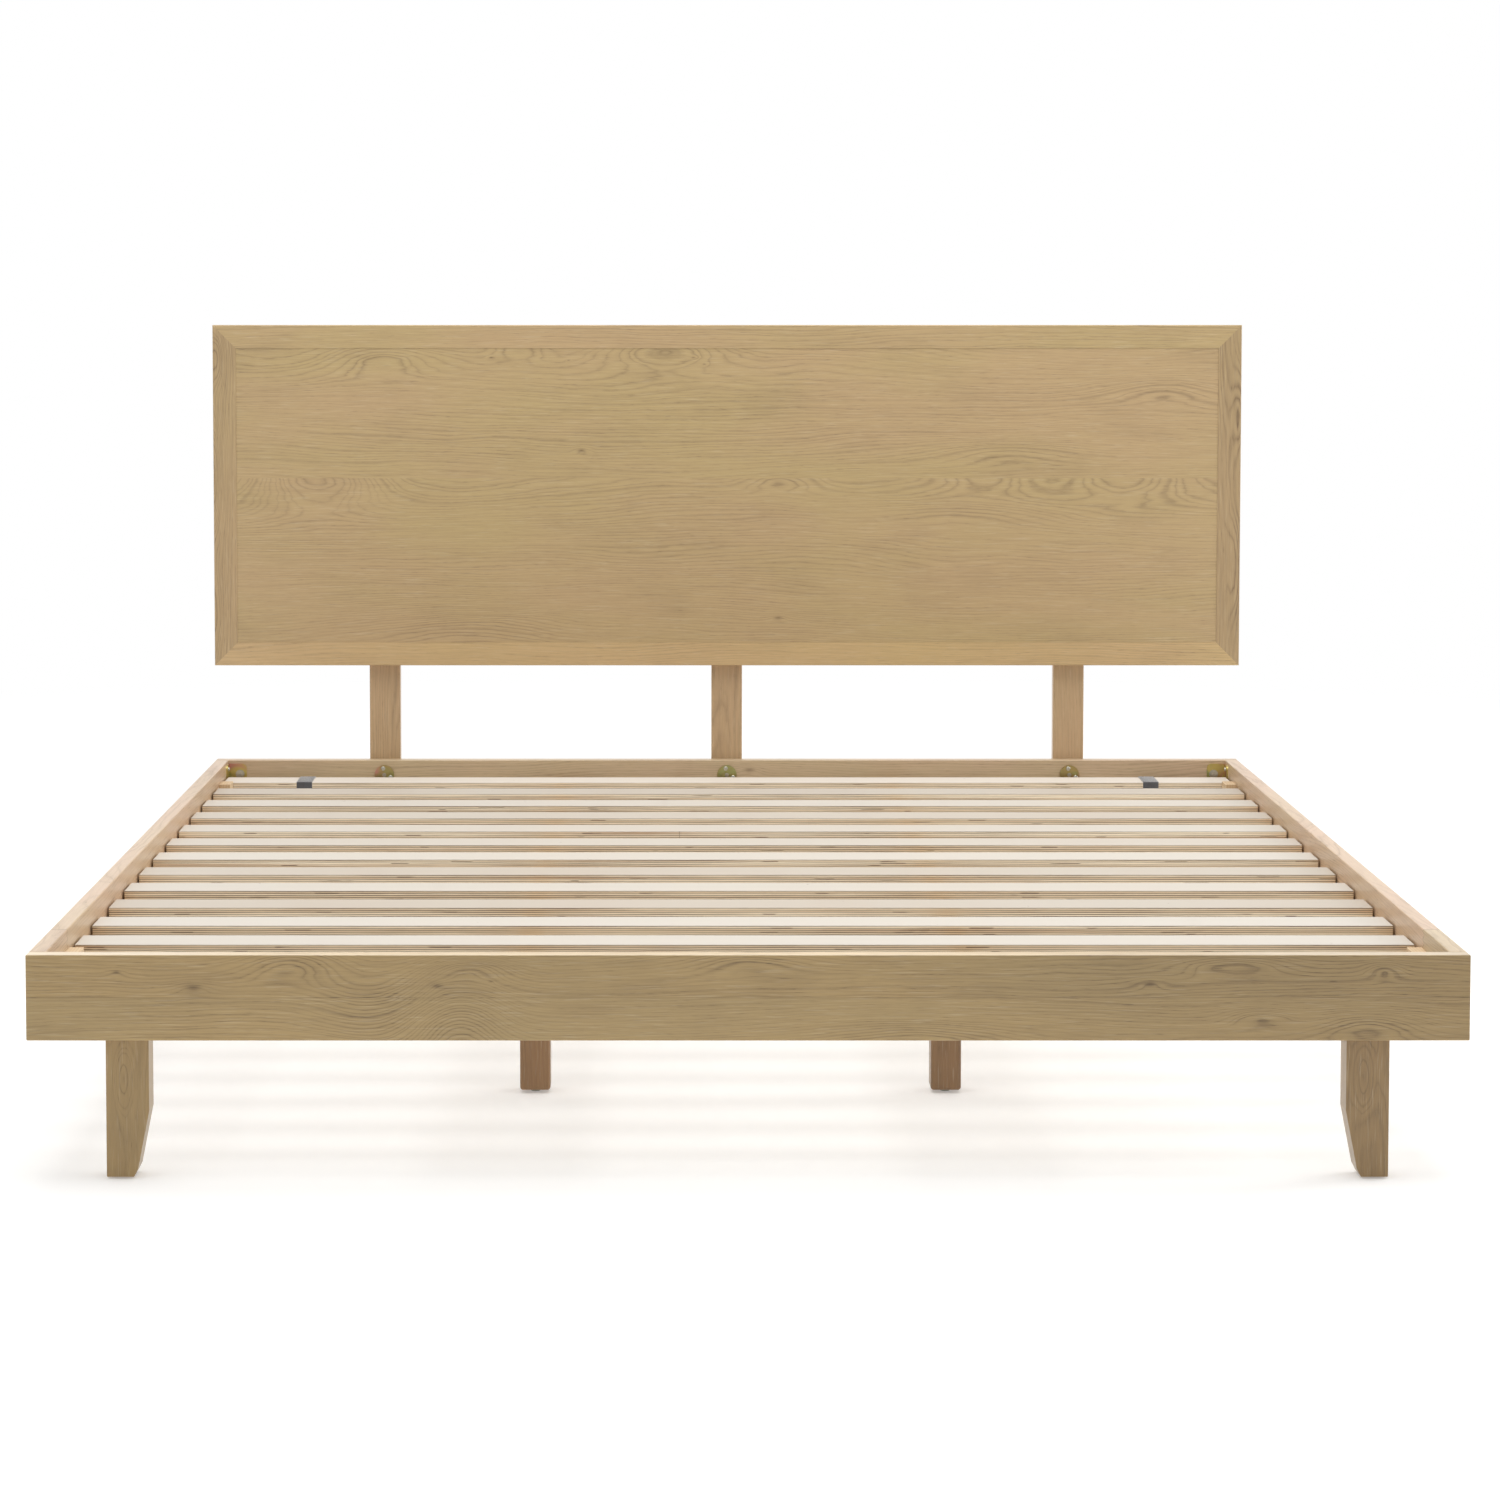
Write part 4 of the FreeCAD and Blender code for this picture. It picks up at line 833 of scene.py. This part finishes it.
def with_cross(mesh, width, depth):
    """The mesh with a cross recess cut into its top."""
    blank = bpy.data.objects.new("blank", mesh)
    bpy.context.scene.collection.objects.link(blank)
    cutters = []
    for long_x, long_y in ((width, width * 0.26), (width * 0.26, width)):
        work = bmesh.new()
        bmesh.ops.create_cube(work, size=1)
        for corner in work.verts:
            x, y, z = corner.co
            taper = 1.0 if z > 0 else 0.55
            corner.co = Vector((x * long_x * taper, y * long_y * taper, z * depth * 2))
        cutter_mesh = bpy.data.meshes.new("cutter")
        work.to_mesh(cutter_mesh)
        work.free()
        cutter = bpy.data.objects.new("cutter", cutter_mesh)
        bpy.context.scene.collection.objects.link(cutter)
        cut = blank.modifiers.new("cross", "BOOLEAN")
        cut.object = cutter
        cut.solver = "EXACT"
        cutters.append(cutter)
    bpy.context.view_layer.update()
    result = bpy.data.meshes.new_from_object(blank.evaluated_get(bpy.context.evaluated_depsgraph_get()))
    for leftover in (blank, *cutters):
        bpy.data.objects.remove(leftover)
    return result


def stamp(name, master, places):
    """One piece made of copies of a mesh, each carried by its own matrix."""
    corners = []
    faces = []
    for matrix in places:
        first = len(corners)
        corners.extend(matrix @ corner.co for corner in master.vertices)
        faces.extend(tuple(first + number for number in face.vertices) for face in master.polygons)
    mesh = bpy.data.meshes.new(name)
    mesh.from_pydata(corners, [], faces)
    piece = bpy.data.objects.new(name, mesh)
    bpy.context.scene.collection.objects.link(piece)
    return piece


def shade_by_angle(piece, degrees=35):
    """Smooth shading over gentle bends, crisp at real edges."""
    piece.data.polygons.foreach_set("use_smooth", [True] * len(piece.data.polygons))
    piece.data.set_sharp_from_angle(angle=math.radians(degrees))


def settle(piece, material, body, slot, *stands_for):
    """Finish, body and CAD parts of a new piece; the slot is not used."""
    piece.data.materials.clear()
    piece.data.materials.append(material)
    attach(piece, body)
    if stands_for:
        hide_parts(*stands_for)


PAN_OUTLINE = [(2.0, -15.4), (2.0, -2.6), (4.2, -2.4), (4.2, -1.5), (3.9, -0.8), (3.2, -0.25),
               (2.2, -0.05), (1.0, 0.0)]
FLAT_OUTLINE = [(0.6, -40.0), (2.2, -36.0), (2.2, -3.0), (4.3, -0.25), (4.4, -0.05), (4.0, 0.0)]
for node, outline, width, depth, metal in (("pan_screws", PAN_OUTLINE, 4.4, 1.3, screw_metal),
                                           ("wood_screws", FLAT_OUTLINE, 5.0, 1.8, gold_metal)):
    name = "cross_" + node
    corners = turned([(radius * MM, height * MM) for radius, height in outline])
    plain = mesh_of(name, corners, tube_faces(len(outline), TURN_STEPS))
    master = with_cross(plain, width * MM, depth * MM)
    screws = stamp(name, master, [screw_place(solid) for solid in solids_of(node)])
    settle(screws, metal, "root", "zinc_steel", node)
    shade_by_angle(screws)
    print(name, len(screws.data.polygons), "faces")

# %% [markdown]
# ## Screw-in feet
# When a foot is wound out, its thread shows. A thread is a ridge that climbs one pitch for every turn. It
# could be made with a screw modifier, but a plain grid is simpler: rows climb the stud, steps go round it,
# and the radius follows a zigzag of the height less the turn. The pad gets shallow grips for the fingers.

# %% Studs and pads
PITCH = 1.25 * MM
THREAD_DEPTH = 0.6 * MM
THREAD_STEPS = 24
ROWS_PER_TURN = 8
GRIPS = 20
GRIP_STEPS = GRIPS * 6
FLUTE = 0.25 * MM
STUD_HOLE = 4.3 * MM


def threaded_stud(node):
    """Stud of a CAD stud's size, with a thread of the real pitch and softened ends."""
    low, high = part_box(node)
    radius = (high.x - low.x) / 2
    centre = (low + high) / 2
    rows = round((high.z - low.z) / PITCH * ROWS_PER_TURN)
    corners = []
    for row in range(rows + 1):
        height = low.z + (high.z - low.z) * row / rows
        end_room = min(row, rows - row) / ROWS_PER_TURN
        for step in range(THREAD_STEPS):
            turn = step / THREAD_STEPS
            ridge = abs(((height - low.z) / PITCH + turn) % 1.0 - 0.5) * 2
            reach = radius - THREAD_DEPTH * max(1 - ridge, 1 - end_room)
            corners.append((centre.x + reach * math.cos(2 * math.pi * turn),
                            centre.y + reach * math.sin(2 * math.pi * turn), height))
    return mesh_of(node, corners, tube_faces(rows + 1, THREAD_STEPS))


def gripped_pad(node, hole):
    """Pad of a CAD pad's size, fluted round its edge, with a round hole for the stud."""
    low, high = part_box(node)
    centre = (low + high) / 2
    top_radius = (high.x - low.x) / 2
    bottom_radius = top_radius * 0.85
    height = high.z - low.z
    middle_radius = 0.5 * (top_radius + bottom_radius)
    well = 0.36 * height
    outline = [(0.2 * bottom_radius, 0.0), (0.93 * bottom_radius, 0.0), (bottom_radius, 0.05 * height),
               (middle_radius, 0.5 * height), (top_radius, 0.94 * height), (0.96 * top_radius, height),
               (hole, height), (hole, well), (0.1 * hole, well)]
    corners = []
    for radius, level in outline:
        flute = FLUTE if radius > 0.9 * bottom_radius else 0.0
        for step in range(GRIP_STEPS):
            turn = 2 * math.pi * step / GRIP_STEPS
            reach = radius - flute * (0.5 - 0.5 * math.cos(GRIPS * turn))
            corners.append((centre.x + reach * math.cos(turn), centre.y + reach * math.sin(turn),
                            low.z + level))
    return mesh_of(node, corners, tube_faces(len(outline), GRIP_STEPS))


def moulded(name, colour):
    """Moulded plastic: an even colour with a fine grained skin and a few scuffs."""
    plastic = Recipe(name)
    place = plastic.place()
    scuff = plastic.fade(plastic.noise(place, 140, detail=4), 0.5, 0.8)
    tone = plastic.blend(scuff, colour, tuple(min(1.0, 1.35 * level) for level in colour))
    plastic.bump(plastic.noise(place, 2600, detail=2), 0.05 * MM, 0.4)
    return plastic.finish(tone, plastic.fade(scuff, 0.0, 1.0, 0.45, 0.65), gloss=0.45)


pad_plastic = moulded("grey_plastic", (0.330, 0.345, 0.300))
glide_plastic = moulded("dark_plastic", (0.10, 0.095, 0.085))
dress("leg_glides", glide_plastic)
for place in CORNERS:
    for kind, mesh, material, slot in (
            ("stud", threaded_stud("foot_stud_" + place), screw_metal, "zinc_steel"),
            ("pad", gripped_pad("foot_pad_" + place, STUD_HOLE), pad_plastic, "foot_plastic")):
        piece = bpy.data.objects.new("%s_%s" % (kind, place), mesh)
        bpy.context.scene.collection.objects.link(piece)
        settle(piece, material, "%s_%s" % (kind, place), slot, "foot_%s_%s" % (kind, place))
        shade_by_angle(piece)
print("four feet with threads")

# %% [markdown]
# ## Straps
# Two webbing straps run under all the slats and keep them apart. At both ends a strap wraps round the last
# slat. Webbing is flat and hugs what it goes round, so cloth simulation would add nothing: a soft-edged
# section is carried along a path that turns each corner of the slat in a small arc. Its place along the
# strap is stored with it, and the weave follows that, so the threads turn the corners too.

# %% Strap path
WEB_THICK = 1.5 * MM
WEB_GAP = 0.12 * MM
BEND = 1.3 * MM
BEND_STEPS = 5


def strap_path():
    """Middle line of a strap as (y, z) points: round the last slat, along underneath, round the first."""
    front_low, front_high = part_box("slat_%02d" % SLAT_COUNT)
    rear_low, rear_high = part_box("slat_01")
    off = WEB_GAP + WEB_THICK / 2
    bottom = front_low.z - off
    top = front_high.z + off
    turns = [(front_high.y + off, bottom + 2 * BEND), (front_high.y + off, top), (front_low.y - off, top),
             (front_low.y - off, bottom), (rear_high.y + off, bottom), (rear_high.y + off, top),
             (rear_low.y - off, top), (rear_low.y - off, bottom + 2 * BEND)]
    path = [Vector(turns[0])]
    for before, corner, after in zip(turns, turns[1:], turns[2:]):
        here = Vector(corner)
        into = (here - Vector(before)).normalized()
        out = (Vector(after) - here).normalized()
        centre = here - into * BEND + out * BEND
        for step in range(BEND_STEPS + 1):
            angle = math.pi / 2 * step / BEND_STEPS
            path.append(centre - out * BEND * math.cos(angle) + into * BEND * math.sin(angle))
    path.append(Vector(turns[-1]))
    return path


path = strap_path()
path_length = sum((after - before).length for before, after in zip(path, path[1:]))
print("strap path has", len(path), "points and is %.2f m long" % path_length)

# %% Webbing
STRAP_WIDTH = 30 * MM
LONGEST_STEP = 40 * MM
RIB = 1.5 * MM
THREAD = 1.1 * MM


def divided(points):
    """The path with its long runs cut into shorter ones."""
    fine = [points[0]]
    for start, end in zip(points, points[1:]):
        pieces = max(1, math.ceil((end - start).length / LONGEST_STEP))
        fine.extend(start.lerp(end, (number + 1) / pieces) for number in range(pieces))
    return fine


def webbing(name, centre_x, points):
    """Strap with a flat, soft-edged section. Its map holds the length along it and the place across it."""
    half = STRAP_WIDTH / 2
    rim = WEB_THICK / 2
    flat = half - rim * 0.7
    bevel = half - rim * 0.15
    section = [(-flat, -rim), (flat, -rim), (bevel, -rim * 0.55), (half, 0), (bevel, rim * 0.55),
               (flat, rim), (-flat, rim), (-bevel, rim * 0.55), (-half, 0), (-bevel, -rim * 0.55)]
    corners = []
    marks = []
    run = 0.0
    for number, point in enumerate(points):
        before = points[max(number - 1, 0)]
        after = points[min(number + 1, len(points) - 1)]
        run += (point - before).length
        ahead = (after - before).normalized()
        out = Vector((ahead.y, -ahead.x))
        for across, up in section:
            middle = point + out * up
            corners.append((centre_x + across, middle.x, middle.y))
            marks.append((run, across))
    mesh = mesh_of(name, corners, tube_faces(len(points), len(section)))
    layer = mesh.uv_layers.new(name="along_strap")
    for loop in mesh.loops:
        layer.data[loop.index].uv = marks[loop.vertex_index]
    piece = bpy.data.objects.new(name, mesh)
    bpy.context.scene.collection.objects.link(piece)
    return piece


def woven(name):
    """Dark webbing: ribs across, threads along, with painted shade in the valleys between them, paler where
    they rub.
    """
    cloth = Recipe(name)
    layer = cloth.node("UVMap", uv_map="along_strap").outputs[0]
    along, across, _ = cloth.split(layer)
    rib = cloth.sum("ABSOLUTE", cloth.sum("SINE", cloth.sum("MULTIPLY", along, math.pi / RIB)))
    thread_phase = cloth.sum("MULTIPLY", across, math.pi / THREAD)
    shift = cloth.sum("MULTIPLY", cloth.sum("FLOOR", cloth.sum("DIVIDE", along, RIB)), math.pi / 2)
    thread = cloth.sum("ABSOLUTE", cloth.sum("SINE", cloth.sum("ADD", thread_phase, shift)))
    weave = cloth.sum("MULTIPLY", cloth.sum("POWER", rib, 0.6), cloth.sum("POWER", thread, 0.5))
    fuzz = cloth.noise(cloth.place(), 1800, detail=3)
    wear = cloth.noise(cloth.place(), 30, detail=2)
    dark = cloth.blend(wear, (0.066, 0.066, 0.075), (0.090, 0.088, 0.094))
    # Painted shade: the valleys between ribs and threads are painted near black.
    colour = cloth.blend(cloth.fade(weave, 0.2, 1.0), (0.02, 0.02, 0.024), dark)
    cloth.bump(cloth.sum("MULTIPLY_ADD", fuzz, 0.25, weave), 0.3 * MM, 0.8)
    return cloth.finish(colour, 0.5, gloss=0.6, sheen=0.8)


strap_cloth = woven("dark_webbing")
strap_low, strap_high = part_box("slat_straps")
fine_path = divided(path)
for side, centre_x in (("left", strap_low.x + STRAP_WIDTH / 2), ("right", strap_high.x - STRAP_WIDTH / 2)):
    strap = webbing("strap_" + side, centre_x, fine_path)
    settle(strap, strap_cloth, "slat_roll", "webbing", "slat_straps")
    shade_by_angle(strap, 50)
    # Light bounced off the floor passes the strap, or it would darken a patch of every slat above.
    strap.visible_diffuse = False
print("straps woven")
